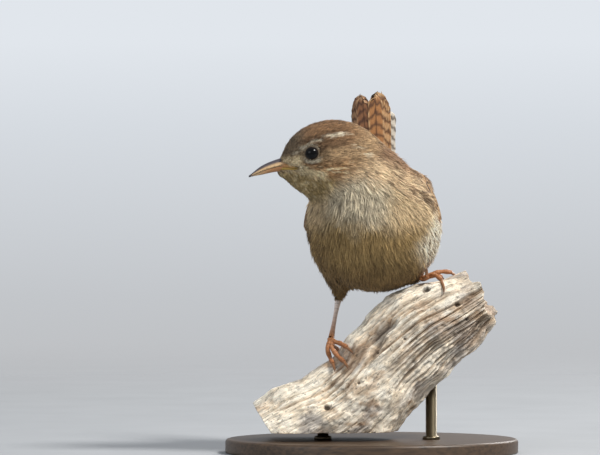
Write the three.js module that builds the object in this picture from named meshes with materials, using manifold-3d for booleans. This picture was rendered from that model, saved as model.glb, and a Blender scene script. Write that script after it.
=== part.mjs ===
// A life-size Eurasian wren standing across a short length of dead limb, on a plain display stand.
// Millimetres, +Z up. The breast faces the viewer at -Y, the head is turned to the bird's own right
// at -X, and the tail is cocked. The origin is the centre of the stand's underside.
import * as THREE from "three";
import { mergeVertices } from "three/addons/utils/BufferGeometryUtils.js";
import Module from "manifold-3d";

const wasm = await Module();
wasm.setup();

const vec = (x, y, z) => new THREE.Vector3(x, y, z);
const rad = THREE.MathUtils.degToRad;
const lerp = THREE.MathUtils.lerp;

// Driving dimensions
const GAP = 0.3; // between pieces that touch
const BODY_CENTRE = vec(1.2, 0.5, 64.4);
const BODY_LENGTH = 45; // breast to rump, in the plumage
const BODY_WIDTH = 35.4; // behind the breast, under the wings
const BODY_DEPTH = 33;
const BREAST_LENGTH = 33;
const BREAST_WIDTH = 37.6;
const BREAST_DEPTH = 36;
const BODY_YAW = rad(15); // the breast is turned this far to the viewer's left
const BODY_PITCH = rad(25); // the breast is raised
const HEAD_CENTRE = vec(-11.6, -11, 84.1);
const HEAD_LENGTH = 28.6;
const HEAD_WIDTH = 18.8;
const HEAD_HEIGHT = 22.6;
const HEAD_YAW = rad(77); // from facing the viewer to facing left
const HEAD_PITCH = rad(-5);
const EYE_RADIUS = 2.2;
const BILL_REACH = 24.4; // bill tip ahead of the head's centre
const TAIL_ROOT = vec(1.4, 20.5, 71.8);
const TAIL_TIP = vec(-0.9, 22.6, 103.2);
const TAIL_LENGTH = 31.6;
// Each half of the tail: how far from the middle its first feather starts, how far apart the inner four
// and the outer two are, the first one's angle, how much it grows up to the fourth, and how much further
// out the last one is turned
const TAIL_HALVES = {
  left: { first: 0.5, apart: 0.33, opened: 0.75, angle: 1.9, spread: 0.77, out: 2.1 },
  right: { first: 1, apart: 0.4, opened: 0.5, angle: 0.9, spread: 0.17, out: 0 },
};
const TAIL_SHORTER = {
  left: [1.1, 0.3, 0, 0.4, 3.4, 5.6],
  right: [1.4, 0.7, 0.6, 1.6, 3, 5],
}; // each tail feather, from the middle outwards
const WING_PITCH = rad(12); // the wing's front edge is raised
const WING_RISE = { left: 7.6, right: 4.4 }; // each wing's middle above the body's; the right one droops
const TARSUS_RADIUS = 0.62;
const TOE_RADIUS = 0.72;
const BASE_RADIUS = 42;
const BASE_DEPTH_SHARE = 0.78; // the base is oval, narrower from front to back
const BASE_HEIGHT = 4;
const ROD_RADIUS = 1.6;
const ROD_PLACES = { left: -14, right: 17 };
const PERCH_SAWN_LEVEL = 6.5; // the sawn underside of the limb

// Frames: forward, left and up of the body and of the head, as the bird has them
function turned(yaw, pitch) {
  const flat = vec(-Math.sin(yaw), -Math.cos(yaw), 0);
  const left = vec(0, 0, 1).cross(flat);
  const forward = flat.clone().multiplyScalar(Math.cos(pitch));
  forward.z = Math.sin(pitch);
  return { forward, left, up: forward.clone().cross(left) };
}

const level = turned(BODY_YAW, 0);
const trunk = turned(BODY_YAW, BODY_PITCH);
const face = turned(HEAD_YAW, HEAD_PITCH);

function within(frame, centre, forward, left, up) {
  return centre
    .clone()
    .addScaledVector(frame.forward, forward)
    .addScaledVector(frame.left, left)
    .addScaledVector(frame.up, up);
}
const bodyPoint = (forward, left, up) => within(level, BODY_CENTRE, forward, left, up);
const headPoint = (forward, left, up) => within(face, HEAD_CENTRE, forward, left, up);

// The plumage's outer surface is one smooth field: negative inside, about a distance outside
function ellipsoid(frame, centre, length, width, height) {
  const radii = [length / 2, width / 2, height / 2];
  return (p) => {
    const d = p.clone().sub(centre);
    const local = [d.dot(frame.forward), d.dot(frame.left), d.dot(frame.up)];
    const scaled = Math.hypot(...local.map((x, i) => x / radii[i]));
    const slope = Math.hypot(...local.map((x, i) => x / radii[i] ** 2));
    return (scaled * (scaled - 1)) / Math.max(slope, 1e-6);
  };
}

function cone(from, to, fromRadius, toRadius) {
  const axis = to.clone().sub(from);
  return (p) => {
    const d = p.clone().sub(from);
    const t = THREE.MathUtils.clamp(d.dot(axis) / axis.lengthSq(), 0, 1);
    return d.addScaledVector(axis, -t).length() - lerp(fromRadius, toRadius, t);
  };
}

function blended(first, second, reach) {
  return (p) => {
    const a = first(p);
    const b = second(p);
    const h = Math.max(reach - Math.abs(a - b), 0) / reach;
    return Math.min(a, b) - (h * h * reach) / 4;
  };
}

const trunkField = blended(
  ellipsoid(trunk, BODY_CENTRE, BODY_LENGTH, BODY_WIDTH, BODY_DEPTH),
  ellipsoid(level, bodyPoint(4, 0.2, 0.9), BREAST_LENGTH, BREAST_WIDTH, BREAST_DEPTH),
  4,
);
const rumpField = cone(bodyPoint(-13, 0, 3), TAIL_ROOT.clone().add(vec(0, 0.7, -0.8)), 8.5, 4.8);
const shoulderField = ellipsoid(level, vec(-3.6, -5.5, 78.7), 23, 26, 21);
const skullField = ellipsoid(face, HEAD_CENTRE, HEAD_LENGTH, HEAD_WIDTH, HEAD_HEIGHT);
const loreField = cone(headPoint(7, 0, -0.5), headPoint(14.2, 0, -1.1), 6.6, 2.2);
const headField = blended(skullField, loreField, 3);
const bodyField = blended(blended(trunkField, rumpField, 4), shoulderField, 5);
const birdField = blended(bodyField, headField, 5);

// Solids
function solid(geometry) {
  const bare = geometry.clone();
  bare.deleteAttribute("normal");
  bare.deleteAttribute("uv");
  const merged = mergeVertices(bare, 1e-4);
  const vertProperties = Float32Array.from(merged.attributes.position.array);
  const triVerts = Uint32Array.from(merged.index.array);
  const made = new wasm.Manifold(new wasm.Mesh({ numProp: 3, vertProperties, triVerts }));
  if (made.volume() >= 0) return made;
  for (let i = 0; i < triVerts.length; i += 3) {
    [triVerts[i + 1], triVerts[i + 2]] = [triVerts[i + 2], triVerts[i + 1]];
  }
  return new wasm.Manifold(new wasm.Mesh({ numProp: 3, vertProperties, triVerts }));
}

const joined = (solids) => solids.reduce((all, next) => all.add(next));

// The largest closed surface alone, without loose scraps or the walls of sealed hollows
function largest(made) {
  const { vertProperties, triVerts } = made.getMesh();
  const parent = Uint32Array.from({ length: vertProperties.length / 3 }, (_, i) => i);
  const find = (i) => {
    let root = i;
    while (parent[root] !== root) root = parent[root];
    parent[i] = root;
    return root;
  };
  for (let i = 0; i < triVerts.length; i += 3) {
    parent[find(triVerts[i])] = find(triVerts[i + 1]);
    parent[find(triVerts[i])] = find(triVerts[i + 2]);
  }
  const surfaces = new Map();
  for (let i = 0; i < triVerts.length; i += 3) {
    const root = find(triVerts[i]);
    if (!surfaces.has(root)) surfaces.set(root, []);
    surfaces.get(root).push(...triVerts.subarray(i, i + 3));
  }
  const closed = [...surfaces.values()].map((corners) => {
    const geometry = new THREE.BufferGeometry();
    geometry.setAttribute("position", new THREE.BufferAttribute(vertProperties, 3));
    geometry.setIndex(corners);
    return geometry.toNonIndexed();
  });
  return closed
    .map((geometry) => solid(geometry))
    .reduce((best, next) => (next.volume() > best.volume() ? next : best));
}

// A sphere drawn in along its rays until it lies on a field's surface, or that far outside it
function wrapped(field, centre, detail, outside = 0) {
  const reach = 75;
  const sphere = new THREE.IcosahedronGeometry(1, detail);
  const points = sphere.attributes.position;
  const ray = vec(0, 0, 0);
  const at = vec(0, 0, 0);
  for (let i = 0; i < points.count; i++) {
    ray.fromBufferAttribute(points, i).normalize();
    const distance = (r) => field(at.copy(centre).addScaledVector(ray, r)) - outside;
    let high = reach;
    while (high > 0 && distance(high - 0.5) > 0) high -= 0.5;
    let low = high - 0.5;
    for (let k = 0; k < 14; k++) {
      const middle = (low + high) / 2;
      if (distance(middle) > 0) high = middle;
      else low = middle;
    }
    at.copy(centre).addScaledVector(ray, high);
    points.setXYZ(i, at.x, at.y, at.z);
  }
  return solid(sphere);
}

// A closed plate between two like faces, each a grid over u and v from 0 to 1
function plate(top, bottom, stepsU, stepsV) {
  const positions = [];
  const faces = [];
  const wide = stepsV + 1;
  const count = (stepsU + 1) * wide;
  for (const side of [top, bottom]) {
    for (let i = 0; i <= stepsU; i++) {
      for (let j = 0; j <= stepsV; j++) positions.push(...side(i / stepsU, j / stepsV));
    }
  }
  const quad = (a, b, c, d) => faces.push(a, b, c, a, c, d);
  for (let i = 0; i < stepsU; i++) {
    for (let j = 0; j < stepsV; j++) {
      const a = i * wide + j;
      faces.push(a, a + wide, a + wide + 1, a, a + wide + 1, a + 1);
      const b = a + count;
      faces.push(b, b + wide + 1, b + wide, b, b + 1, b + wide + 1);
    }
  }
  for (let i = 0; i < stepsU; i++) {
    const near = i * wide;
    const far = near + stepsV;
    quad(near, near + count, near + wide + count, near + wide);
    quad(far, far + wide, far + wide + count, far + count);
  }
  for (let j = 0; j < stepsV; j++) {
    const last = stepsU * wide + j;
    quad(j, j + 1, j + 1 + count, j + count);
    quad(last, last + count, last + 1 + count, last + 1);
  }
  const geometry = new THREE.BufferGeometry();
  geometry.setAttribute("position", new THREE.Float32BufferAttribute(positions, 3));
  geometry.setIndex(faces);
  return solid(geometry);
}

// A number read smoothly from a few evenly spaced values
function along(values, t) {
  const curve = new THREE.SplineCurve(values.map((v, i) => new THREE.Vector2(i, v)));
  return curve.getPoint(THREE.MathUtils.clamp(t, 0, 1)).y;
}

// A closed tube through points, with a small cap at each end
function tube(points, radii, steps, sides, grow = 0) {
  const curve = new THREE.CatmullRomCurve3(points);
  const frames = curve.computeFrenetFrames(steps);
  const positions = [];
  const faces = [];
  for (let i = 0; i <= steps; i++) {
    const centre = curve.getPointAt(i / steps);
    const radius = along(radii, i / steps) + grow;
    for (let k = 0; k < sides; k++) {
      const angle = (2 * Math.PI * k) / sides;
      const p = centre
        .clone()
        .addScaledVector(frames.normals[i], Math.cos(angle) * radius)
        .addScaledVector(frames.binormals[i], Math.sin(angle) * radius);
      positions.push(...p);
    }
  }
  const start = (steps + 1) * sides;
  const pointed = radii.at(-1) + grow;
  positions.push(...curve.getPointAt(0).addScaledVector(frames.tangents[0], -0.4 * radii[0] - grow));
  positions.push(...curve.getPointAt(1).addScaledVector(frames.tangents[steps], 0.7 * pointed));
  for (let k = 0; k < sides; k++) {
    const next = (k + 1) % sides;
    for (let i = 0; i < steps; i++) {
      const a = i * sides;
      const b = a + sides;
      faces.push(a + k, a + next, b + next, a + k, b + next, b + k);
    }
    faces.push(start, next, k);
    faces.push(start + 1, steps * sides + k, steps * sides + next);
  }
  const geometry = new THREE.BufferGeometry();
  geometry.setAttribute("position", new THREE.Float32BufferAttribute(positions, 3));
  geometry.setIndex(faces);
  return solid(geometry);
}

// A feather vane on a surface that place(along, across, height) gives: narrow at its root, round at its tip
const VANE = 0.55; // a vane's thickness
const outline = (u, blunt) => {
  const rounded = Math.max(0, (u - blunt) / (1 - blunt));
  return Math.min(1, 0.35 + 1.7 * u) * Math.sqrt(1 - 0.97 * rounded ** 2.4);
};

// A vane's blunt is where its rounded end begins, and a crowd below 1 sets its rows closer towards the tip
const PLAIN_VANE = { tilt: 0, blunt: 0.68, crowd: 1, steps: 6, columns: 1 };

function vane(place, shape) {
  const { root, tip, halfWidth, lift, tilt, blunt, crowd, steps, columns } = { ...PLAIN_VANE, ...shape };
  const run = new THREE.Vector2(...tip).sub(new THREE.Vector2(...root));
  const side = new THREE.Vector2(-run.y, run.x).normalize();
  const face = (rise) => (step, v) => {
    const u = step ** crowd;
    const across = (2 * v - 1) * halfWidth * outline(u, blunt);
    const a = root[0] + run.x * u + side.x * across;
    const b = root[1] + run.y * u + side.y * across;
    const camber = -0.12 * (2 * v - 1) ** 2;
    return place(a, b, lift + rise + camber + (tilt * across) / halfWidth);
  };
  return plate(face(VANE), face(0), steps, columns);
}

// The head, with the lids fused round the eye sockets, and the line of the mouth running back into it
const EYE_FORWARD = 7.1;
const EYE_SIDE = 6.8;
const EYE_UP = 2.6;
const eyeCentre = (side) => headPoint(EYE_FORWARD, side * EYE_SIDE, EYE_UP);

function eye(side, grow = 0) {
  const ball = new THREE.SphereGeometry(EYE_RADIUS + grow, 16, 12);
  return solid(ball.translate(...eyeCentre(side)));
}

function lid(side) {
  const ring = new THREE.TorusGeometry(EYE_RADIUS * 0.93, 0.4, 5, 16);
  const outward = face.left.clone().multiplyScalar(side).addScaledVector(face.forward, 0.28);
  outward.addScaledVector(face.up, 0.05).normalize();
  ring.applyQuaternion(new THREE.Quaternion().setFromUnitVectors(vec(0, 0, 1), outward));
  const proud = eyeCentre(side).addScaledVector(outward, 1.15);
  return solid(ring.translate(...proud));
}

// The bill's middle line droops towards its tip
const billLine = (t) => headPoint(lerp(9, BILL_REACH, t), 0, -0.32 + 2.37 * t - 4.62 * t * t);
const BILL_HALF_WIDTHS = [2.7, 2.25, 1.5, 0.95, 0.2];
const BILL_HALF_HEIGHTS = [2.2, 1.95, 1.58, 1.15, 0.22];

function bill() {
  const steps = 9;
  const sides = 12;
  const positions = [];
  const faces = [];
  for (let i = 0; i <= steps; i++) {
    const t = i / steps;
    for (let k = 0; k < sides; k++) {
      const angle = (2 * Math.PI * k) / sides;
      const p = billLine(t);
      p.addScaledVector(face.left, Math.cos(angle) * along(BILL_HALF_WIDTHS, t));
      p.addScaledVector(face.up, Math.sin(angle) * along(BILL_HALF_HEIGHTS, t));
      positions.push(...p);
    }
  }
  const rootCap = (steps + 1) * sides;
  positions.push(...billLine(0), ...billLine(1.02));
  for (let k = 0; k < sides; k++) {
    const next = (k + 1) % sides;
    for (let i = 0; i < steps; i++) {
      const a = i * sides;
      const b = a + sides;
      faces.push(a + k, a + next, b + next, a + k, b + next, b + k);
    }
    faces.push(rootCap, next, k);
    faces.push(rootCap + 1, steps * sides + k, steps * sides + next);
  }
  const geometry = new THREE.BufferGeometry();
  geometry.setAttribute("position", new THREE.Float32BufferAttribute(positions, 3));
  geometry.setIndex(faces);
  return solid(geometry);
}

// A thin curved sheet along the mouth line parts the mandibles, a little below the bill's middle
function mouthSheet(from, to, halfWidth) {
  const drop = 0.25;
  const edge = (rise) => (u, v) => {
    const p = billLine(lerp(from, to, u));
    p.addScaledVector(face.left, (2 * v - 1) * halfWidth);
    return p.addScaledVector(face.up, rise - drop);
  };
  return plate(edge(GAP / 2), edge(-GAP / 2), 8, 1);
}

function nostril(side) {
  const slit = new THREE.SphereGeometry(1, 8, 6).scale(0.75, 0.3, 0.22);
  slit.applyMatrix4(new THREE.Matrix4().makeBasis(face.forward, face.left, face.up));
  const p = billLine(0.42).addScaledVector(face.left, side * 1.45).addScaledVector(face.up, 1.0);
  return solid(slit.translate(...p));
}

// Planes that part head, neck and torso, square to the line from the torso to the head
const rise = HEAD_CENTRE.clone().sub(BODY_CENTRE).normalize();
const HEAD_CUT = rise.dot(HEAD_CENTRE) - 9;
const NECK_CUT = HEAD_CUT - 6;
const above = (made, offset) => made.trimByPlane(rise.toArray(), offset);
const below = (made, offset) => made.trimByPlane(rise.clone().negate().toArray(), -offset);

const SKIN_DETAIL = 8;
const wholeHead = wrapped(birdField, HEAD_CENTRE, SKIN_DETAIL);
const wholeBody = wrapped(birdField, BODY_CENTRE, SKIN_DETAIL - 1);
const neckCentre = HEAD_CENTRE.clone().lerp(BODY_CENTRE, 0.42);
const wholeNeck = wrapped(birdField, neckCentre, SKIN_DETAIL - 1);
const grownHead = wrapped(birdField, HEAD_CENTRE, SKIN_DETAIL, GAP);
const grownBody = wrapped(birdField, BODY_CENTRE, SKIN_DETAIL - 1, GAP);

function head() {
  const lidded = joined([above(wholeHead, HEAD_CUT), lid(1), lid(-1)]);
  const mouth = mouthSheet(-0.02, 0.5, 4);
  return largest(lidded.subtract(eye(1, GAP)).subtract(eye(-1, GAP)).subtract(mouth));
}

const neck = () => largest(above(below(wholeNeck, HEAD_CUT - GAP), NECK_CUT));
const torso = () => largest(below(wholeBody, NECK_CUT - GAP));

function mandibles() {
  const cut = bill().subtract(grownHead).subtract(nostril(1)).subtract(nostril(-1));
  const halves = cut.subtract(mouthSheet(0, 1.1, 5)).decompose();
  halves.sort((a, b) => b.volume() - a.volume());
  const middle = (m) => m.boundingBox().max[2] + m.boundingBox().min[2];
  const [lower, upper] = halves.slice(0, 2).sort((a, b) => middle(a) - middle(b));
  return { upper, lower };
}

// A folded wing lies on its side of the body, and behind that on a longer ellipsoid that carries its
// tips clear of the rump. Its feathers are placed by their distance forward of the body's centre, up
// from it, and by their height off that bed.
const wingFrame = turned(BODY_YAW, WING_PITCH);
const WING_REACH = 30;
const WING_SPAN = 17;
const WING_OUT = 14.6;
const WRIST = 8.5; // the wing's front edge, where its feathers sink into those of the breast

function wingPlace(side, rise) {
  const middle = within(wingFrame, BODY_CENTRE, 0, 0, rise);
  const hull = ellipsoid(wingFrame, middle, 2 * WING_REACH, 2 * WING_OUT, 2 * WING_SPAN);
  const bed = blended(birdField, hull, 4);
  return (forward, up, height) => {
    const settled = height * THREE.MathUtils.clamp((WRIST - forward) / 6, 0.1, 1);
    const at = (across) => within(wingFrame, middle, forward, side * across, up);
    let low = 0;
    let high = 30;
    for (let k = 0; k < 24; k++) {
      const half = (low + high) / 2;
      if (bed(at(half)) > settled) high = half;
      else low = half;
    }
    return at(high);
  };
}

// One row of feathers, shingled so that each upper one lies over the one below it
function feathers(place, count, shape) {
  return Array.from({ length: count }, (_, k) => vane(place, shape(k, k / (count - 1))));
}

function wing(side, rise) {
  const place = wingPlace(side, rise);
  const bend = (v) => 3 * (2 * v - 1) ** 2; // how far the wrist is rounded off above and below
  const hand = (height) => (u, v) => place(lerp(7.5 - bend(v), -9, u), lerp(-6.6, 6.6, v), height);
  const flight = feathers(place, 13, (k, t) => {
    const reach = 25.5 - 16 * Math.exp(-0.8 * k) - 0.5 * Math.max(0, k - 4);
    const root = [lerp(4, -1, t), lerp(-6, 3.8, t)];
    return { root, tip: [-reach, lerp(-8.5, 3.6, t)], halfWidth: 2.1, lift: 0.15, tilt: -0.4, steps: 4 };
  });
  const tertials = feathers(place, 3, (k, t) => {
    const tip = [lerp(-17, -12, t), lerp(3.8, 6.4, t)];
    return { root: [-2, lerp(4.4, 6.8, t)], tip, halfWidth: 2.5, lift: 0.65, tilt: -0.4, steps: 4 };
  });
  const greater = feathers(place, 8, (k, t) => {
    const tip = [lerp(-7, -5.5, t), lerp(-6.6, 6, t)];
    const root = [lerp(3.5, 1.5, t), lerp(-5.6, 6, t)];
    return { root, tip, halfWidth: 1.7, lift: 0.85, tilt: -0.35, steps: 3 };
  });
  const median = feathers(place, 6, (k, t) => {
    const tip = [lerp(-0.5, -1.5, t), lerp(-5, 6, t)];
    const root = [6.6 - bend(t), lerp(-4, 5.6, t)];
    return { root, tip, halfWidth: 1.9, lift: 1.15, tilt: -0.3, steps: 3 };
  });
  const palm = plate(hand(0.8), hand(-1.5), 4, 4);
  const whole = joined([palm, ...flight, ...tertials, ...greater, ...median]);
  return largest(whole.subtract(grownBody));
}

// The tail stands cocked, its upper side towards the head. Vanes are placed along it, across it to the
// bird's left, and by their height off its upper side.
const tailAlong = TAIL_TIP.clone().sub(TAIL_ROOT).normalize();
const tailUpper = vec(-0.12, -1, 0).addScaledVector(tailAlong, 0.12 * tailAlong.x + tailAlong.y).normalize();
const tailLeft = tailAlong.clone().cross(tailUpper);
const ROOF = 0.05; // the tail falls away to either side of its middle

function tailPlace(a, b, height) {
  return TAIL_ROOT
    .clone()
    .addScaledVector(tailAlong, a)
    .addScaledVector(tailLeft, b)
    .addScaledVector(tailUpper, height - ROOF * Math.abs(b));
}

function rectrix(side, k) {
  const name = side > 0 ? "left" : "right";
  const half = TAIL_HALVES[name];
  const length = TAIL_LENGTH - TAIL_SHORTER[name][k];
  const outer = Math.max(0, k - 3);
  const inner = Math.min(k, 3);
  const angle = rad(half.angle + half.spread * inner + (k === 5 ? half.out : 0)) * side;
  const across = side * (half.first + half.apart * inner + half.opened * outer);
  const tip = [length * Math.cos(angle), across + length * Math.sin(angle)];
  const lift = -0.4 * k - (side < 0 ? 0.17 : 0); // the bird's right feathers tuck under its left ones
  const shape = { halfWidth: 2.1 - 0.17 * outer, tilt: -0.3 * side, blunt: 0.92, crowd: 0.65, steps: 7 };
  return vane(tailPlace, { root: [-2, across], tip, lift, ...shape });
}

function tail() {
  const pairs = [0, 1, 2, 3, 4, 5].flatMap((k) => [rectrix(1, k), rectrix(-1, k)]);
  const core = new THREE.SphereGeometry(1, 14, 10).scale(3.4, 5, 2.7);
  core.applyMatrix4(new THREE.Matrix4().makeBasis(tailLeft, tailAlong, tailUpper));
  const middle = tailPlace(1.5, 0, -0.9);
  const upper = feathers(tailPlace, 5, (k, t) => {
    const across = lerp(-3.1, 3.3, t);
    const lift = 0.7 - 0.11 * k;
    const tip = [8.5 - 0.2 * across ** 2, across];
    return { root: [-2, across * 0.7], tip, halfWidth: 1.7, lift, steps: 4 };
  });
  const under = feathers(tailPlace, 5, (k, t) => {
    const across = lerp(-3.3, 3.5, t);
    const lift = 0.13 * k - 3.4;
    const tip = [12 - 0.15 * across ** 2, across];
    return { root: [-2, across * 0.7], tip, halfWidth: 1.8, lift, steps: 4 };
  });
  const whole = joined([solid(core.translate(...middle)), ...pairs, ...upper, ...under]);
  return largest(whole.subtract(grownBody));
}

// The limb: a tapering, ridged length of dead wood. Places on it are given by the distance up its
// axis and by the angle round it, from 0 at the viewer's side to 90 degrees at the top.
const limbStart = vec(-15, -3, 11.2);
const limbAxis = vec(0.825, 0, 0.565).normalize();
const limbUp = vec(-0.565, 0, 0.825).normalize();
const LIMB_FROM = -14;
const LIMB_TO = 57.5;
// The limb's reach above, below and to each side of its axis, at even distances up it
const LIMB_TOPS = [13.2, 13.2, 11.6, 11.2, 14.4, 16.3, 16.4, 13, 10.5];
const LIMB_BOTTOMS = [-17, -19, -20.5, -18.5, -14.5, -12.6, -11, -9.2, -7.5];
const LIMB_SIDES = [14, 14, 13.8, 13.8, 13.6, 13.2, 12.6, 11.2, 9.2];

function limbRadius(distance, angle) {
  const t = (distance - LIMB_FROM) / (LIMB_TO - LIMB_FROM);
  const half = (along(LIMB_TOPS, t) - along(LIMB_BOTTOMS, t)) / 2;
  const side = along(LIMB_SIDES, t);
  const oval = 1 / Math.hypot(Math.cos(angle) / side, Math.sin(angle) / half);
  const broad = 0.42 * Math.sin(5 * angle + 0.05 * distance);
  const ridges = broad + 0.28 * Math.sin(11 * angle - 0.07 * distance);
  return oval + ridges + 0.22 * Math.sin(0.5 * distance + 3 * angle);
}

function limbPoint(distance, angle, off = 0) {
  const t = (distance - LIMB_FROM) / (LIMB_TO - LIMB_FROM);
  const middle = (along(LIMB_TOPS, t) + along(LIMB_BOTTOMS, t)) / 2;
  const radius = limbRadius(distance, angle) + off;
  return limbStart
    .clone()
    .addScaledVector(limbAxis, distance)
    .addScaledVector(limbUp, middle + Math.sin(angle) * radius)
    .add(vec(0, -Math.cos(angle) * radius, 0));
}

function limb(off = 0) {
  const stations = 18;
  const sides = 24;
  const positions = [];
  const faces = [];
  for (let i = 0; i <= stations; i++) {
    for (let k = 0; k < sides; k++) {
      const angle = (2 * Math.PI * k) / sides;
      const broken = 1.3 * Math.sin(2 * angle + 0.6) + 0.9 * Math.sin(5 * angle);
      const end = LIMB_TO + broken * (i / stations) ** 3 + off;
      positions.push(...limbPoint(lerp(LIMB_FROM - off, end, i / stations), angle, off));
    }
  }
  const start = (stations + 1) * sides;
  const centre = (distance) => limbPoint(distance, 0).add(vec(0, limbRadius(distance, 0), 0));
  positions.push(...centre(LIMB_FROM - off), ...centre(LIMB_TO - 1 + off));
  for (let k = 0; k < sides; k++) {
    const next = (k + 1) % sides;
    for (let i = 0; i < stations; i++) {
      const a = i * sides;
      const b = a + sides;
      faces.push(a + k, a + next, b + next, a + k, b + next, b + k);
    }
    faces.push(start, next, k);
    faces.push(start + 1, stations * sides + k, stations * sides + next);
  }
  const geometry = new THREE.BufferGeometry();
  geometry.setAttribute("position", new THREE.Float32BufferAttribute(positions, 3));
  geometry.setIndex(faces);
  return solid(geometry);
}

// A point on the viewer's side of the limb, at that place across and that height
function onLimb(x, z, off = TOE_RADIUS * 0.8) {
  const d = vec(x, 0, z).sub(vec(limbStart.x, 0, limbStart.z));
  const distance = d.dot(limbAxis);
  let low = -Math.PI / 2;
  let high = Math.PI / 2;
  for (let k = 0; k < 24; k++) {
    const angle = (low + high) / 2;
    const point = limbPoint(distance, angle, off).sub(limbStart);
    if (point.dot(limbUp) < d.dot(limbUp)) low = angle;
    else high = angle;
  }
  return limbPoint(distance, low, off);
}

// Legs: the feathered thigh, the bare tarsus, and a foot of four toes with their claws
const LEGS = {
  right: {
    knee: vec(-7.6, -1, 56),
    cuff: vec(-9.3, 5, 45),
    ankle: vec(-9.6, 5.8, 43.4),
    ball: vec(-11.7, -5.2, 32.8),
    toes: [
      { path: [vec(-11.6, -2.6, 31), vec(-10.6, 1.2, 30.2), vec(-9.4, 5, 29)], claw: vec(-8.6, 7.6, 26.4) },
      { path: [vec(-10.7, -6, 32.1), vec(-9, -6.6, 31.6), onLimb(-7.2, 30.6)], claw: onLimb(-5.4, 28.8) },
      { path: [vec(-11.5, -7, 30.4), onLimb(-9.7, 28), onLimb(-8, 26.6)], claw: onLimb(-6.8, 24.4) },
      { path: [vec(-12.7, -6.8, 30.3), onLimb(-12, 27.6), onLimb(-11.2, 26)], claw: onLimb(-10.6, 23.6) },
    ],
  },
  left: {
    knee: vec(5, 4, 56.7),
    cuff: vec(12.2, -1, 50.1),
    ankle: vec(7.5, 9.8, 51.7),
    ball: vec(14.7, -3.6, 50),
    toes: [
      {
        path: [vec(15.2, -5.4, 50.2), vec(15.6, -7, 50.4), vec(15.6, -7.8, 51.2)],
        claw: vec(15.4, -8.1, 53.6),
      },
      { path: [vec(16.6, -5, 50.8), vec(18.2, -6.6, 51), onLimb(19.8, 49.8)], claw: onLimb(20.2, 45.6) },
      { path: [vec(17, -3.4, 51.2), vec(20, -2.9, 52), vec(22.8, -2.4, 51.8)], claw: vec(24.4, -2.6, 49.4) },
      { path: [vec(16.2, -1.8, 50.4), vec(18.2, 0.8, 50.9), vec(20, 3.2, 50.4)], claw: vec(21.4, 6, 47.6) },
    ],
  },
};

function thigh(name, grow = 0) {
  const { knee, cuff } = LEGS[name];
  return tube([knee, knee.clone().lerp(cuff, 0.5), cuff], [7.6, 4.8, 1.6], 6, 12, grow);
}

function tarsus(name, grow = 0) {
  const { ankle, ball } = LEGS[name];
  const low = ankle.clone().lerp(ball, 0.96);
  const radii = [1.5, 1, 1, 1.15, 1.5].map((share) => share * TARSUS_RADIUS);
  return tube([ankle, ankle.clone().lerp(ball, 0.5), low], radii, 8, 8, grow);
}

function foot(name, grow = 0) {
  const { ball, toes } = LEGS[name];
  const pad = new THREE.SphereGeometry(TOE_RADIUS * 1.5 + grow, 10, 8).translate(...ball);
  const swellings = [1.15, 1.1, 0.95, 1.05, 0.85, 0.8].map((s) => s * TOE_RADIUS);
  const made = toes.map(({ path }) => tube([ball, ...path], swellings, 6, 7, grow));
  return joined([solid(pad), ...made]);
}

function claw(name, index, grow = 0) {
  const { ball, toes } = LEGS[name];
  const { path, claw: tip } = toes[index];
  const before = index === 0 && name === "left" ? path.at(-2) : [ball, ...path].at(-2);
  const heading = path.at(-1).clone().sub(before).normalize();
  const middle = path.at(-1).clone().lerp(tip, 0.5).addScaledVector(heading, 0.7);
  const root = path.at(-1).clone().addScaledVector(heading, -0.3);
  return tube([root, middle, tip], [0.58, 0.5, 0.36, 0.1], 5, 6, grow);
}

// The stand
function base() {
  const bevel = 1;
  const profile = [
    [0, 0],
    [BASE_RADIUS - bevel / 2, 0],
    [BASE_RADIUS, bevel / 2],
    [BASE_RADIUS, BASE_HEIGHT - bevel],
    [BASE_RADIUS - bevel, BASE_HEIGHT],
    [0, BASE_HEIGHT],
  ].map(([x, y]) => new THREE.Vector2(x, y));
  const disc = new THREE.LatheGeometry(profile, 56).rotateX(Math.PI / 2);
  return solid(disc.scale(1, BASE_DEPTH_SHARE, 1));
}

function rod(x, grownLimb) {
  const top = 40;
  const shaft = new THREE.CylinderGeometry(ROD_RADIUS, ROD_RADIUS, top - BASE_HEIGHT - GAP, 20);
  shaft.rotateX(Math.PI / 2).translate(x, limbStart.y, (top + BASE_HEIGHT + GAP) / 2);
  const pieces = solid(shaft).subtract(grownLimb).decompose();
  return pieces.reduce((low, next) => (next.boundingBox().min[2] < low.boundingBox().min[2] ? next : low));
}

// Materials
function material(colour, roughness, metalness = 0) {
  return new THREE.MeshStandardMaterial({ color: colour, roughness, metalness });
}

const materials = {
  plumage: material(0x8f7650, 0.9),
  barred: material(0x7d5334, 0.85),
  bill: material(0x8a6a48, 0.45),
  eye: material(0x120c08, 0.08),
  shank: material(0xa9683a, 0.6),
  claw: material(0x6e5238, 0.45),
  wood: material(0xb7a78f, 0.95),
  board: material(0x3a332c, 0.5),
  rod: material(0x55524e, 0.35, 0.9),
};

// The model
const bird = new THREE.Group();

function piece(name, made, finish) {
  const { numProp, vertProperties, triVerts } = made.getMesh();
  const points = new Float32Array((vertProperties.length / numProp) * 3);
  for (let i = 0; i < points.length / 3; i++) {
    points.set(vertProperties.subarray(i * numProp, i * numProp + 3), i * 3);
  }
  const geometry = new THREE.BufferGeometry();
  geometry.setAttribute("position", new THREE.BufferAttribute(points, 3));
  geometry.setIndex(new THREE.BufferAttribute(Uint32Array.from(triVerts), 1));
  geometry.computeVertexNormals();
  const mesh = new THREE.Mesh(geometry, finish);
  mesh.name = name;
  bird.add(mesh);
}

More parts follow.
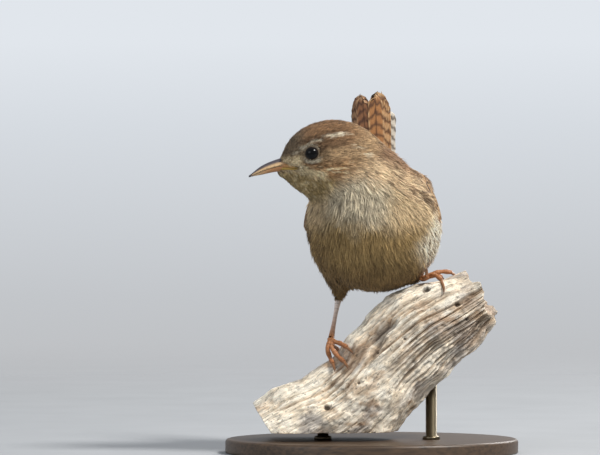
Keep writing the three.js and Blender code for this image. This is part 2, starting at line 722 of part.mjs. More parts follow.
piece("head", head(), materials.plumage);
piece("neck", neck(), materials.plumage);
piece("torso", torso(), materials.plumage);
const { upper, lower } = mandibles();
piece("bill_upper", upper, materials.bill);
piece("bill_lower", lower, materials.bill);
piece("eye_left", eye(1), materials.eye);
piece("eye_right", eye(-1), materials.eye);
piece("wing_left", wing(1, WING_RISE.left), materials.barred);
piece("wing_right", wing(-1, WING_RISE.right), materials.barred);
piece("tail", tail(), materials.barred);

const grips = [];
for (const name of ["left", "right"]) {
  const grownFoot = foot(name, GAP);
  const grownTarsus = tarsus(name, GAP);
  // The bird's left leg is tucked up, so that its thigh shows only as a small cuff under the belly
  const cuff = largest(thigh(name).subtract(grownBody).subtract(grownTarsus));
  const shank = largest(tarsus(name).subtract(grownFoot).subtract(grownBody));
  piece(`thigh_${name}`, cuff, materials.plumage);
  piece(`tarsus_${name}`, shank, materials.shank);
  piece(`foot_${name}`, foot(name), materials.shank);
  grips.push(grownFoot, grownTarsus);
  for (const index of [0, 1, 2, 3]) {
    piece(`claw_${name}_${index + 1}`, largest(claw(name, index).subtract(grownFoot)), materials.claw);
    grips.push(claw(name, index, GAP));
  }
}

const flatTop = [0, 0, 1];
const gripped = limb().trimByPlane(flatTop, PERCH_SAWN_LEVEL).subtract(joined(grips));
const grownLimb = limb(GAP).trimByPlane(flatTop, PERCH_SAWN_LEVEL - GAP);
piece("perch", largest(gripped), materials.wood);
piece("stand_base", base(), materials.board);
piece("stand_rod_left", rod(ROD_PLACES.left, grownLimb), materials.rod);
piece("stand_rod_right", rod(ROD_PLACES.right, grownLimb), materials.rod);

export default bird;
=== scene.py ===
"""A life-size Eurasian wren on a short length of dead limb, held by a plain display stand."""
import math

import bmesh
import bpy
import numpy as np
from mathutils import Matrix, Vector


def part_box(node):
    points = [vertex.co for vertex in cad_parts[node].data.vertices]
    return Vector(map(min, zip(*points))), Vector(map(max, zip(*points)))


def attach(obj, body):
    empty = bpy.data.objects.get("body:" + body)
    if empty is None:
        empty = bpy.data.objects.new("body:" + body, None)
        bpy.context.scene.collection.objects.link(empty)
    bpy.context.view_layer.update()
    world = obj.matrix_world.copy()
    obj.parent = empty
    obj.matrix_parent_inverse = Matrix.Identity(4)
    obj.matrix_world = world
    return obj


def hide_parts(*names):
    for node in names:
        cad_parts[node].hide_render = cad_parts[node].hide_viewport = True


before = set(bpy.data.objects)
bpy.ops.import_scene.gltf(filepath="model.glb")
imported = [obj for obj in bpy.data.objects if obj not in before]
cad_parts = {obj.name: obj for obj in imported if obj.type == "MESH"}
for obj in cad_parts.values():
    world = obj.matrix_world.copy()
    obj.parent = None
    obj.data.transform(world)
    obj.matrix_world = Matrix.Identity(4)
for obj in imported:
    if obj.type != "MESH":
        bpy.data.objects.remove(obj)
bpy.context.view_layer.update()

MM = 0.001
RNG = np.random.default_rng(41)


# Small tools for rows of points, all in millimetres
def vec(x, y, z):
    return np.array([x, y, z], float)


def unit(v):
    return v / np.maximum(np.linalg.norm(v, axis=-1, keepdims=True), 1e-9)


def lerp(a, b, t):
    return a + (b - a) * t


def smoothstep(low, high, x):
    t = np.clip((x - low) / (high - low), 0, 1)
    return t * t * (3 - 2 * t)


def along(values, t):
    """A number read smoothly from a few evenly spaced values, t from 0 to 1."""
    values = np.asarray(values, float)
    last = len(values) - 1
    t = np.clip(np.asarray(t, float), 0, 1) * last
    i = np.minimum(t.astype(int), last - 1)
    f = t - i
    padded = np.concatenate([[values[0]], values, [values[-1]]])
    a, b, c, d = padded[i], padded[i + 1], padded[i + 2], padded[i + 3]
    v0, v1 = (c - a) / 2, (d - b) / 2
    return (2 * b - 2 * c + v0 + v1) * f**3 + (-3 * b + 3 * c - 2 * v0 - v1) * f**2 + v0 * f + b


def noise(p, seed):
    """Smooth noise from -1 to 1. Each corner's number is mixed from its place and large primes."""
    base = np.floor(p).astype(np.int64)
    part = p - base
    part = part * part * (3 - 2 * part)
    total = np.zeros(len(p))
    for corner in range(8):
        step = np.array([corner & 1, corner >> 1 & 1, corner >> 2 & 1])
        x, y, z = (base + step).T
        mixed = (x * 73856093) ^ (y * 19349663) ^ (z * 83492791) ^ (seed * 2654435761)
        mixed = (mixed ^ (mixed >> 13)) * 1274126177 & 0x7FFFFFFF
        weight = np.prod(np.where(step, part, 1 - part), axis=1)
        total += weight * ((mixed ^ (mixed >> 15)) % 10007 / 5003 - 1)
    return total


def fractal(p, octaves, seed):
    """Layers of noise, each one twice as fine and half as strong."""
    total = np.zeros(len(p))
    for k in range(octaves):
        total += noise(p * 2**k, seed + 17 * k) / 2**k
    return total


def circle(count):
    """Evenly spaced angles round a circle."""
    return np.linspace(0, 2 * np.pi, count, endpoint=False)


def srgb(r, g, b):
    """A linear colour from the usual 0 to 255 values."""
    c = np.array([r, g, b], float) / 255
    return np.where(c <= 0.04045, c / 12.92, ((c + 0.055) / 1.055) ** 2.4)


# The bird's frames and sizes are those of its solids
def turned(yaw, pitch):
    flat = vec(-math.sin(yaw), -math.cos(yaw), 0)
    left = np.cross(vec(0, 0, 1), flat)
    forward = flat * math.cos(pitch)
    forward[2] = math.sin(pitch)
    return np.array([forward, left, np.cross(forward, left)])


BODY_CENTRE = vec(1.2, 0.5, 64.4)
BODY_YAW = math.radians(15)
HEAD_CENTRE = vec(-11.6, -11, 84.1)
LEVEL = turned(BODY_YAW, 0)
TRUNK = turned(BODY_YAW, math.radians(25))
FACE = turned(math.radians(77), math.radians(-5))
WING_AXES = turned(BODY_YAW, math.radians(12))
WING_RISE = {"left": 7.6, "right": 4.4}
SIDES = {"left": 1, "right": -1}
EYE_AHEAD, EYE_OUT, EYE_HIGH = 7.1, 6.8, 2.6
EYE_RADIUS = 2.2
BILL_REACH = 24.4
TAIL_ROOT = vec(1.4, 20.5, 71.8)
TAIL_TIP = vec(-0.9, 22.6, 103.2)
TAIL_LENGTH = 31.6
TAIL_ALONG = unit(TAIL_TIP - TAIL_ROOT)
TAIL_UPPER = unit(vec(-0.12, -1, 0) + TAIL_ALONG * (0.12 * TAIL_ALONG[0] + TAIL_ALONG[1]))
TAIL_LEFT = np.cross(TAIL_ALONG, TAIL_UPPER)
TARSUS_RADIUS = 0.62
TOE_RADIUS = 0.72


def within(axes, centre, forward, left, up):
    """Points from their places in a frame."""
    parts = [np.asarray(v, float)[..., None] for v in (forward, left, up)]
    return centre + parts[0] * axes[0] + parts[1] * axes[1] + parts[2] * axes[2]


def in_frame(p, centre, axes):
    """The places of points in a frame: forward, left and up."""
    return ((p - centre) @ axes.T).T


def body_point(forward, left, up):
    return within(LEVEL, BODY_CENTRE, forward, left, up)


def head_point(forward, left, up):
    return within(FACE, HEAD_CENTRE, forward, left, up)


def eye_centre(side):
    return head_point(EYE_AHEAD, side * EYE_OUT, EYE_HIGH)


# The plumage's outer surface as one smooth field, negative inside
def ellipsoid(axes, centre, length, width, height):
    radii = np.array([length, width, height]) / 2

    def field(p):
        place = (p - centre) @ axes.T
        scaled = np.linalg.norm(place / radii, axis=1)
        steep = np.linalg.norm(place / radii**2, axis=1)
        return scaled * (scaled - 1) / np.maximum(steep, 1e-6)

    return field


def cone(start, end, start_radius, end_radius):
    axis = end - start

    def field(p):
        t = np.clip((p - start) @ axis / (axis @ axis), 0, 1)
        return np.linalg.norm(p - start - t[:, None] * axis, axis=1) - lerp(start_radius, end_radius, t)

    return field


def blended(first, second, reach):
    def field(p):
        a, b = first(p), second(p)
        h = np.maximum(reach - np.abs(a - b), 0) / reach
        return np.minimum(a, b) - h * h * reach / 4

    return field


LEGS = {
    "right": {
        "knee": vec(-7.6, -1, 56),
        "cuff": vec(-9.3, 5, 45),
        "ankle": vec(-9.6, 5.8, 43.4),
        "ball": vec(-11.7, -5.2, 32.8),
    },
    "left": {
        "knee": vec(5, 4, 56.7),
        "cuff": vec(12.2, -1, 50.1),
        "ankle": vec(7.5, 9.8, 51.7),
        "ball": vec(14.7, -3.6, 50),
    },
}

trunk_field = blended(
    ellipsoid(TRUNK, BODY_CENTRE, 45, 35.4, 33),
    ellipsoid(LEVEL, body_point(4, 0.2, 0.9), 33, 37.6, 36),
    4,
)
rump_field = cone(body_point(-13, 0, 3), TAIL_ROOT + vec(0, 0.7, -0.8), 8.5, 4.8)
shoulder_field = ellipsoid(LEVEL, vec(-3.6, -5.5, 78.7), 23, 26, 21)
skull_field = ellipsoid(FACE, HEAD_CENTRE, 28.6, 18.8, 22.6)
lore_field = cone(head_point(7, 0, -0.5), head_point(14.2, 0, -1.1), 6.6, 2.2)
head_field = blended(skull_field, lore_field, 3)
body_field = blended(blended(trunk_field, rump_field, 4), shoulder_field, 5)
bird_field = blended(body_field, head_field, 5)
thigh_fields = {name: cone(leg["knee"], leg["cuff"], 7.2, 1.7) for name, leg in LEGS.items()}
plumage_field = blended(blended(bird_field, thigh_fields["right"], 2.5), thigh_fields["left"], 2.5)


def slope(field, p):
    step = 0.05
    parts = [field(p + step * axis) - field(p - step * axis) for axis in np.eye(3)]
    return np.stack(parts, axis=1) / (2 * step)


def settled(p, level, field=plumage_field, rounds=5):
    """The points moved onto a level of the field, and the way out there."""
    p = p.copy()
    for _ in range(rounds):
        g = slope(field, p)
        size = np.maximum(np.sum(g * g, axis=1), 0.05)
        p -= g * np.clip((field(p) - level) / size, -3, 3)[:, None]
    return p, unit(slope(field, p))


def head_share(p, reach):
    """1 on the head and 0 on the body, with a soft border."""
    return smoothstep(reach, -reach, head_field(p) - body_field(p))


def in_wing_frame(p):
    """Forward and left of the body's middle, and up from the middle of the wing on that side."""
    forward, left, up = in_frame(p, BODY_CENTRE, WING_AXES)
    return forward, left, up - np.where(left > 0, WING_RISE["left"], WING_RISE["right"])


# Meshes from arrays
def build(name, points, faces, tint=None, maps=None):
    """A mesh object from points in millimetres and rows of triangles and quads."""
    mesh = bpy.data.meshes.new(name)
    sizes = np.concatenate([np.full(len(f), f.shape[1]) for f in faces])
    corners = np.concatenate([np.asarray(f).ravel() for f in faces]).astype(np.int32)
    starts = np.concatenate([[0], np.cumsum(sizes)[:-1]]).astype(np.int32)
    mesh.vertices.add(len(points))
    mesh.vertices.foreach_set("co", (points * MM).astype(np.float32).ravel())
    mesh.loops.add(len(corners))
    mesh.loops.foreach_set("vertex_index", corners)
    mesh.polygons.add(len(sizes))
    mesh.polygons.foreach_set("loop_start", starts)
    mesh.polygons.foreach_set("use_smooth", np.full(len(sizes), True))
    mesh.update(calc_edges=True)
    if tint is not None:
        layer = mesh.color_attributes.new(name="tint", type="FLOAT_COLOR", domain="POINT")
        rgba = np.concatenate([tint, np.ones((len(tint), 1))], axis=1)
        layer.data.foreach_set("color", rgba.astype(np.float32).ravel())
    for label, uv in (maps or {}).items():
        layer = mesh.uv_layers.new(name=label)
        layer.data.foreach_set("uv", uv[corners].astype(np.float32).ravel())
    made = bpy.data.objects.new(name, mesh)
    bpy.context.scene.collection.objects.link(made)
    return made


def dress(piece, finish, nodes=()):
    """Gives a piece its material and its body, and hides the CAD nodes that it stands for."""
    piece.data.materials.append(finish)
    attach(piece, "root")
    if nodes:
        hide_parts(*nodes)


def grid_faces(rows, columns, closed=False, looped=False):
    """Quads over a grid of points; closed joins the last column to the first, and looped the rows."""
    starts = np.arange(rows if looped else rows - 1)
    i, j = np.meshgrid(starts, np.arange(columns if closed else columns - 1), indexing="ij")
    here, after, beside = i * columns, (i + 1) % rows * columns, (j + 1) % columns
    return np.stack([here + j, after + j, after + beside, here + beside], axis=-1).reshape(-1, 4)


# Materials. A tree is a material's nodes and links.
def set_sockets(node, **values):
    """Sets sockets by their names, with spaces as underscores."""
    for key, value in values.items():
        node.inputs[key.replace("_", " ")].default_value = value


def fed_node(tree, kind, source, **values):
    """A node whose first socket is linked to a source, with others set by their names."""
    node = tree.nodes.new(kind)
    tree.links.new(source, node.inputs[0])
    set_sockets(node, **values)
    return node


def material(name, **values):
    """A material, its tree and its shader, whose sockets are set by their names."""
    made = bpy.data.materials.new(name)
    made.use_nodes = True
    base = made.node_tree.nodes["Principled BSDF"]
    set_sockets(base, **values)
    return made, made.node_tree, base


def tint_of(tree):
    node = tree.nodes.new("ShaderNodeAttribute")
    node.attribute_name = "tint"
    return node.outputs["Color"]


def place_of(tree):
    return tree.nodes.new("ShaderNodeTexCoord").outputs["Object"]


def multiplied(tree, amount, first, second):
    """One colour multiplied by another, as far as the amount says; 6 and 7 are the node's colour sockets."""
    node = tree.nodes.new("ShaderNodeMix")
    node.data_type = "RGBA"
    node.blend_type = "MULTIPLY"
    node.inputs[0].default_value = amount
    tree.links.new(first, node.inputs[6])
    tree.links.new(second, node.inputs[7])
    return node.outputs[2]


def ramp(tree, source, stops):
    """Colours by place along a scale from 0 to 1; a single number is a grey."""
    node = fed_node(tree, "ShaderNodeValToRGB", source)
    while len(node.color_ramp.elements) < len(stops):
        node.color_ramp.elements.new(0.5)
    for element, (place, colour) in zip(node.color_ramp.elements, stops):
        element.position = place
        element.color = (*np.broadcast_to(colour, 3), 1)
    return node.outputs[0]


def noise_node(tree, vector, scale, detail, roughness=0.55):
    node = fed_node(tree, "ShaderNodeTexNoise", vector, Scale=scale, Detail=detail, Roughness=roughness)
    return node.outputs[0]


def bump(tree, height, strength, distance, base):
    node = tree.nodes.new("ShaderNodeBump")
    set_sockets(node, Strength=strength, Distance=distance)
    tree.links.new(height, node.inputs["Height"])
    tree.links.new(node.outputs[0], base.inputs["Normal"])


def tinted(name, roughness, specular, grain_scale, grain_depth, sheen=0.0):
    """A material coloured by the mesh's own tint, broken up by fine noise, with a matching bump."""
    made, tree, base = material(name, Roughness=roughness, Specular_IOR_Level=specular, Sheen_Weight=sheen)
    grain = noise_node(tree, place_of(tree), grain_scale, 5)
    shade = ramp(tree, grain, [(0.25, 1 - grain_depth), (0.75, 1 + grain_depth)])
    tree.links.new(multiplied(tree, 1.0, tint_of(tree), shade), base.inputs["Base Color"])
    bump(tree, grain, 0.3, 0.0002, base)
    return made


PLUMAGE = tinted("feather_barbs", 0.8, 0.18, 2600, 0.16, sheen=0.12)
SKIN = tinted("plumage_down_and_shade", 0.9, 0.1, 1800, 0.2)
VANES = tinted("flight_feather_vanes", 0.62, 0.3, 3200, 0.14)


# Markings: one colour function for the skin and every tuft
CROWN = srgb(140, 107, 76)
CROWN_DARK = srgb(84, 62, 44)
FOREHEAD = srgb(126, 108, 86)
BROW = srgb(226, 212, 186)
EAR = srgb(164, 128, 90)
EAR_DARK = srgb(92, 66, 46)
SPECKLE = srgb(220, 200, 162)
LORE = srgb(226, 200, 160)
THROAT = srgb(156, 134, 92)
NAPE = srgb(166, 138, 104)
BREAST = srgb(188, 175, 150)
BREAST_SIDE = srgb(194, 170, 134)
BELLY = srgb(151, 125, 82)
# The belly's darker brown, also used as painted shade
BELLY_BROWN_AND_SHADE = srgb(106, 84, 54)
FLANK = srgb(240, 228, 204)
FLANK_BAR = srgb(98, 74, 52)
BACK = srgb(138, 108, 82)
BACK_BAR = srgb(84, 58, 40)
BACK_PALE = srgb(206, 190, 160)
MANTLE = srgb(200, 174, 140)
VENT = srgb(176, 140, 100)
UNDERTAIL = srgb(206, 192, 168)
# Painted shadow along the edges of the folded wings
WING_SHADOW_COLOUR = srgb(78, 58, 38)

# Lines on the head, as places ahead and high. Painted shadows along the wings' edges are lines of places
# across and high, each line with its width and how far back it reaches.
BROW_LINE = [
    (12.5, 1.6), (9.9, 4.4), (7.1, 5.8), (3.7, 6.7), (0.8, 7.2), (-2.2, 7.6), (-5.1, 7.0), (-9.7, 3.4),
]
STRIPE_LINE = [(5.4, 3.4), (3, 4.4), (0, 5.0), (-2.6, 5.0), (-6, 3.9), (-9, 2.0)]
NAPE_LINE = [(-6, 3.4), (-9, 1.4), (-11.5, -1.2)]
CHEEK_LINE = [(10, -2.2), (7.5, -3.2), (5, -4.0), (2.2, -4.4)]
WING_SHADOW_LINES = [
    ([(15.2, 74.6), (16.9, 71.9), (18.0, 69.6)], 1.1, 3),
    ([(-19.7, 66), (-19.4, 63), (-18.4, 60.3)], 1.0, 9),
]


def line_distance(x, y, line):
    """Distance to a line of points, and how far along it from 0 to 1."""
    best = np.full(len(x), 1e9)
    place = np.zeros(len(x))
    for k, ((ax, ay), (bx, by)) in enumerate(zip(line, line[1:])):
        dx, dy = bx - ax, by - ay
        t = np.clip(((x - ax) * dx + (y - ay) * dy) / (dx * dx + dy * dy), 0, 1)
        d = np.hypot(x - ax - t * dx, y - ay - t * dy)
        nearer = d < best
        best = np.where(nearer, d, best)
        place = np.where(nearer, (k + t) / (len(line) - 1), place)
    return best, place


def filled(colour, count):
    return np.repeat(colour[None], count, axis=0)


def towards(colour, *coats):
    """The colour moved towards others in turn, each by its own amount."""
    for other, amount in coats:
        colour = lerp(colour, other, np.asarray(amount)[:, None])
    return colour


def body_colour(p, patch, fleck):
    forward, left, up = in_frame(p, BODY_CENTRE, TRUNK)
    side = np.abs(left)

    # Underparts. The belly is darker towards the bottom, partly its own browner tone and partly painted
    # shade, and painted shade darkens the bird's right side low down (world x below -9)
    vent = smoothstep(-8, -16, forward) * smoothstep(2, -5, up)
    colour = towards(
        filled(BELLY, len(p)),
        (BREAST, smoothstep(60, 69, p[:, 2] + 2 * patch) * smoothstep(16, 8, side + 2 * patch)),
        (BREAST_SIDE, smoothstep(6, 13, side + 2 * patch) * smoothstep(60, 68, p[:, 2])),
        # Darker towards the bottom: partly the belly's own browner tone, partly painted shade
        (BELLY_BROWN_AND_SHADE, 0.75 * smoothstep(56, 48, p[:, 2] + 1.5 * patch)),
        # Painted shade low on the bird's right side, away from the key light
        (BELLY_BROWN_AND_SHADE, 0.6 * smoothstep(-9, -15, p[:, 0] + patch) * smoothstep(64, 57, p[:, 2])),
        (VENT, vent),
    )

    # Rear flanks, cream with dark bars
    reach = forward + patch + np.where(left < 0, 8, 0)
    flank = smoothstep(9.3, 12.6, side + patch) * smoothstep(10.5, 5, reach)
    flank = flank * smoothstep(7, 3, up + patch) * smoothstep(-14, -9, up)
    bars = np.sin(2 * np.pi * (forward * 0.75 - up * 0.55) / 2.3 + 1.6 * patch)
    colour = towards(
        colour,
        (FLANK, 0.85 * flank),
        (FLANK_BAR, 0.9 * flank * smoothstep(0.3, 0.7, bars + 0.5 * fleck)),
        (FLANK_BAR, 0.5 * vent * smoothstep(0.3, 0.8, bars + 0.4 * fleck)),
    )

    # Upperparts, rufous with fine dark bars towards the rump
    mantle = smoothstep(2, 6, up + 1.2 * patch + 0.1 * side)
    speck = noise(p / [1.1, 1.1, 0.7], 13)
    back = smoothstep(9, 14.5, up + 1.2 * patch)
    across = np.sin(2 * np.pi * forward / 2.2 + 1.5 * patch)
    rear = smoothstep(8, -6, forward)
    colour = towards(
        colour,
        (MANTLE, mantle),
        (BACK_BAR, 0.75 * mantle * smoothstep(7, 11, side) * smoothstep(0.1, 0.45, speck)),
        (BACK, back),
        (BACK_BAR, 0.6 * back * rear * smoothstep(0.2, 0.8, across + 0.3 * fleck)),
        (BACK_PALE, 0.3 * back * rear * smoothstep(0.75, 1, -across + 0.4 * fleck)),
    )

    # Painted shadow along the wings' edges, and the pale barred feathers under the tail
    for line, wide, back_to in WING_SHADOW_LINES:
        edge = line_distance(p[:, 0], p[:, 2], line)[0] + 0.8 * fleck
        shaded = 0.75 * smoothstep(wide, 0.3 * wide, edge) * (p[:, 1] < back_to)
        colour = towards(colour, (WING_SHADOW_COLOUR, shaded))
    from_root = p - TAIL_ROOT
    beneath = smoothstep(1, -1.5, from_root @ TAIL_UPPER) * smoothstep(-10, -4, from_root @ TAIL_ALONG)
    beneath = beneath * smoothstep(9, 6, np.abs(from_root @ TAIL_LEFT))
    return towards(
        colour,
        (UNDERTAIL, 0.85 * beneath),
        (FLANK_BAR, 0.8 * beneath * smoothstep(0.4, 0.8, across + 0.4 * fleck)),
    )


def head_colour(p, patch, fleck):
    """The head's colour, both sides alike."""
    ahead, out, high = in_frame(p, HEAD_CENTRE, FACE)
    streak = noise(np.stack([ahead / 2.4, high / 0.5, out / 2], axis=1), 11)
    fine = noise(np.stack([ahead / 1.3, high / 0.45, out / 1.5], axis=1), 12)

    # Crown, forehead, ear coverts, throat and lore
    ear = smoothstep(1.5, -1.5, high + 0.4 * patch) * smoothstep(-9, -3, ahead)
    throat = smoothstep(-3.6, -6.2, high - 0.15 * (ahead - 6)) * smoothstep(-4, 3, ahead)
    throat = np.maximum(throat, smoothstep(-1.6, -3.4, high) * smoothstep(5, 8, ahead))
    colour = towards(
        filled(NAPE, len(p)),
        (CROWN, smoothstep(3.5, 7, high + 0.5 * patch) * smoothstep(-14, -4, ahead)),
        (FOREHEAD, smoothstep(6, 11, ahead) * smoothstep(0, 3, high)),
        (EAR, ear),
        (THROAT, throat),
        (LORE, smoothstep(8.6, 11, ahead) * smoothstep(3.2, 1.6, high) * smoothstep(-3.5, -1.5, high)),
    )
    colour = colour * (1 + 0.2 * streak + 0.18 * fine)[:, None]

    # Speckles, the pale line over the cheek and the dark one behind the eye
    cheek, cheek_place = line_distance(ahead, high, CHEEK_LINE)
    stripe, stripe_place = line_distance(ahead, high, STRIPE_LINE)
    colour = towards(
        colour,
        (SPECKLE, 0.8 * ear * (1 - throat) * smoothstep(0.2, 0.6, streak + 0.4 * fine)),
        (EAR_DARK, 0.75 * ear * (1 - throat) * smoothstep(0.25, 0.65, -streak + 0.4 * fine)),
        (SPECKLE, 0.6 * throat * smoothstep(0.1, 0.7, fine + 0.4 * streak)),
        (SPECKLE, 0.7 * smoothstep(2.0, 0.6, cheek + 0.8 * fine) * smoothstep(1, 0.7, cheek_place)),
        (EAR_DARK, 0.7 * smoothstep(1.9, 0.5, stripe + 0.6 * streak) * smoothstep(1, 0.6, stripe_place)),
    )

    # The brow with its dark upper border, its trace down the nape and the broken ring round the eye
    near, place = line_distance(ahead, high + 0.25 * streak, BROW_LINE)
    strength = smoothstep(0, 0.12, place) * smoothstep(1, 0.7, place)
    worn = smoothstep(-0.5, 0.35, streak + 0.5 * fine) * lerp(0.75, 1, smoothstep(0.35, 0.65, place))
    trace = smoothstep(1.6, 0.4, line_distance(ahead, high, NAPE_LINE)[0] + 0.9 * fine)
    ring = smoothstep(3.3, 2.6, np.hypot(ahead - EYE_AHEAD, high - EYE_HIGH) + 0.3 * fleck)
    return towards(
        colour,
        (CROWN_DARK, 0.5 * strength * smoothstep(2.4, 1.2, near) * smoothstep(5.2, 6.4, high)),
        (BROW, 0.95 * strength * worn * smoothstep(0.85, 0.25, near + 0.55 * fine + 0.2 * streak)),
        (BROW, 0.6 * trace * smoothstep(0.1, 0.5, streak)),
        (BROW, 0.7 * ring * smoothstep(0.6, 1.6, np.abs(high - EYE_HIGH))),
    )


def plumage_colour(p):
    """Linear colour of the plumage at points of its outer surface."""
    patch = fractal(p / 5, 3, 3)
    fleck = noise(p / 0.9, 7)
    head = smoothstep(2.5, -2.5, head_field(p) - body_field(p) + patch)
    colour = towards(body_colour(p, patch, fleck), (head_colour(p, patch, fleck), head))
    shade = 1 + 0.08 * patch + 0.1 * fleck
    return np.clip(colour * shade[:, None], 0.004, 0.9)


def gape_bare(p):
    """How far inside the featherless wedge at the corner of the mouth, in millimetres; negative outside."""
    ahead, _, high = in_frame(p, HEAD_CENTRE, FACE)
    above = np.interp(ahead, [10.2, 12, 14.9, 15.9, 17], [-1.15, -0.35, 0.7, 1.84, 4])
    below = np.interp(ahead, [10.2, 12.9, 16.4, 17.2], [-1.3, -1.65, -1.83, -4])
    return np.minimum(above - high, high - below)


def coat_depth(p):
    """How deep the coat is, from the bill's root to the belly."""
    ahead, _, _ = in_frame(p, HEAD_CENTRE, FACE)
    head = head_share(p, 3)
    depth = lerp(1.5, lerp(0.7, 0.28, smoothstep(2, 13, ahead)), head)
    depth = lerp(depth, 1.5, smoothstep(-0.1, 0.5, gape_bare(p)))
    forward, left, high = in_wing_frame(p)
    under = smoothstep(8, 5, forward) * smoothstep(-15, -12, forward)
    under = under * smoothstep(8.5, 6.5, np.abs(high)) * smoothstep(6, 8, np.abs(left))
    return lerp(depth, 2.9, under * (1 - head))


# The skin: the nodes of flesh as one smooth surface inside the coat
FARTHEST = 60.0
RAY_STEP = 0.25


def wrapped(centre):
    """A sphere drawn in along its rays until it lies on the plumage's outer surface."""
    ball = bmesh.new()
    bmesh.ops.create_icosphere(ball, subdivisions=5, radius=1)
    rays = unit(np.array([v.co for v in ball.verts]))
    faces = np.array([[v.index for v in f.verts] for f in ball.faces])
    ball.free()
    reach = np.full(len(rays), FARTHEST)
    for _ in range(int(FARTHEST / RAY_STEP)):
        outside = plumage_field(centre + rays * (reach - RAY_STEP)[:, None]) > 0
        if not outside.any():
            break
        reach = np.where(outside & (reach > 2 * RAY_STEP), reach - RAY_STEP, reach)
    return centre + rays * reach[:, None], faces


def make_skin():
    """Points and quads of the skin, and the points of the plumage's outer surface over them."""
    thigh = {name: lerp(leg["knee"], leg["cuff"], 0.45) for name, leg in LEGS.items()}
    neck = lerp(HEAD_CENTRE, BODY_CENTRE, 0.42)
    points, faces, count = [], [], 0
    for centre in (BODY_CENTRE, HEAD_CENTRE, neck, thigh["right"], thigh["left"]):
        p, f = wrapped(centre)
        points.append(p)
        faces.append(f + count)
        count += len(p)
    rough = build("rough_skin", np.concatenate(points), [np.concatenate(faces)])
    remesh = rough.modifiers.new("remesh", "REMESH")
    remesh.mode = "VOXEL"
    remesh.voxel_size = 0.55 * MM
    evaluated = rough.evaluated_get(bpy.context.evaluated_depsgraph_get())
    mesh = evaluated.to_mesh()
    p = np.zeros(len(mesh.vertices) * 3, np.float32)
    mesh.vertices.foreach_get("co", p)
    quads = np.array([face.vertices[:] for face in mesh.polygons])
    evaluated.to_mesh_clear()
    bpy.data.objects.remove(rough)
    outer, _ = settled(p.reshape(-1, 3).astype(float) / MM, 0.0)
    inner, _ = settled(outer, -coat_depth(outer))
    return inner, quads, outer


skin_points, skin_quads, skin_outer = make_skin()
# The skin takes the plumage's colour at 0.62: partly the darker down at the feathers' bases, partly painted
# shade deep in the coat
skin = build("plumage_skin", skin_points, [skin_quads], tint=plumage_colour(skin_outer) * 0.62)
dress(skin, SKIN, ["head", "neck", "torso", "thigh_left", "thigh_right"])


# The lie of the coat. Tufts lie over the front and top edges of the folded wings.
def wing_bed(rise):
    middle = within(WING_AXES, BODY_CENTRE, 0, 0, rise)
    return middle, ellipsoid(WING_AXES, middle, 60, 29.2, 34)


def cover_field(p):
    """The plumage's outer surface, raised over the edges of the wings."""
    total = plumage_field(p)
    for name, sign in SIDES.items():
        middle, bed = wing_bed(WING_RISE[name])
        forward, left, up = in_frame(p, middle, WING_AXES)
        beyond = np.maximum(0, np.abs(up) - 7) + np.maximum(0, forward - 7) + np.maximum(0, 4 - sign * left)
        beyond = beyond + 0.4 * np.maximum(0, -6 - forward)
        raised = bed(p) - 0.5 - 0.5 * np.clip((8.5 - forward) / 6, 0, 1) + 1.6 * beyond
        total = np.minimum(total, raised)
    return total


def lie_of(p, out):
    """The way that feathers point, along the surface."""
    high = (p - HEAD_CENTRE) @ FACE[2]
    head = head_share(p, 4)[:, None]
    body_way = -TRUNK[0] + vec(0, 0, -0.55)
    ahead = (p - HEAD_CENTRE) @ FACE[0]
    fall = 0.35 * smoothstep(2, -6, high) + 0.9 * smoothstep(-0.5, -4, high) * smoothstep(-1, 6, ahead)
    head_way = -FACE[0] - FACE[2] * fall[:, None]
    way = lerp(body_way, head_way, head)
    rump = smoothstep(-12, -22, (p - BODY_CENTRE) @ LEVEL[0])[:, None] * smoothstep(60, 70, p[:, 2])[:, None]
    way = lerp(way, TAIL_ALONG * 1.2, rump)
    for name, leg in LEGS.items():
        near = smoothstep(1.5, -1, thigh_fields[name](p) - body_field(p))[:, None]
        way = lerp(way, unit(leg["cuff"] - leg["knee"]) * 1.2, 0.8 * near)
    wander = np.stack([noise(p / 3.5, 21), noise(p / 3.5, 22), noise(p / 3.5, 23)], axis=1)
    way = unit(way) + 0.3 * wander
    way -= np.sum(way * out, axis=1)[:, None] * out
    return unit(way)


def sample(points, quads, count, density):
    """Random places over a mesh of quads, more where the density of a quad is higher."""
    a, b, c, d = (points[quads[:, k]] for k in range(4))
    area = 0.5 * np.linalg.norm(np.cross(c - a, d - b), axis=1)
    weight = area * density
    chosen = RNG.choice(len(quads), size=count, p=weight / weight.sum())
    u, v = RNG.random((2, count))[:, :, None]
    return lerp(lerp(a[chosen], b[chosen], u), lerp(d[chosen], c[chosen], u), v)


def unwrap(p):
    """The skin laid out flat: round its own long axis, from the bill over the neck to the tail."""
    spine = [head_point(14, 0, -1), HEAD_CENTRE, lerp(HEAD_CENTRE, BODY_CENTRE, 0.5), BODY_CENTRE, TAIL_ROOT]
    best = np.full(len(p), 1e9)
    place = np.zeros(len(p))
    angle = np.zeros(len(p))
    run = 0.0
    for a, b in zip(spine, spine[1:]):
        size = np.linalg.norm(b - a)
        axis = (b - a) / size
        across = unit(np.cross(axis, vec(0.1, 0.2, 1)))
        upward = np.cross(across, axis)
        t = np.clip((p - a) @ axis, 0, size)
        offset = p - a - t[:, None] * axis
        distance = np.linalg.norm(offset, axis=1)
        nearer = distance < best
        best = np.where(nearer, distance, best)
        place = np.where(nearer, run + t, place)
        angle = np.where(nearer, np.arctan2(offset @ across, offset @ upward), angle)
        run += size
    return np.stack([0.5 + angle / (2 * np.pi), place / run], axis=1)


# For tufts of three and of four rows of points: how wide the barbs are at each row, and how light. The
# barbs are darker at the root and lighter at the tip: partly the feathers' own darker bases, partly painted
# shade deep in the coat.
TUFT_ROWS = {
    3: ([0.7, 0.9, 0], [0.3, 0.78, 1.32]),
    4: ([0.6, 1.0, 0.72, 0], [0.25, 0.5, 0.95, 1.28]),
}


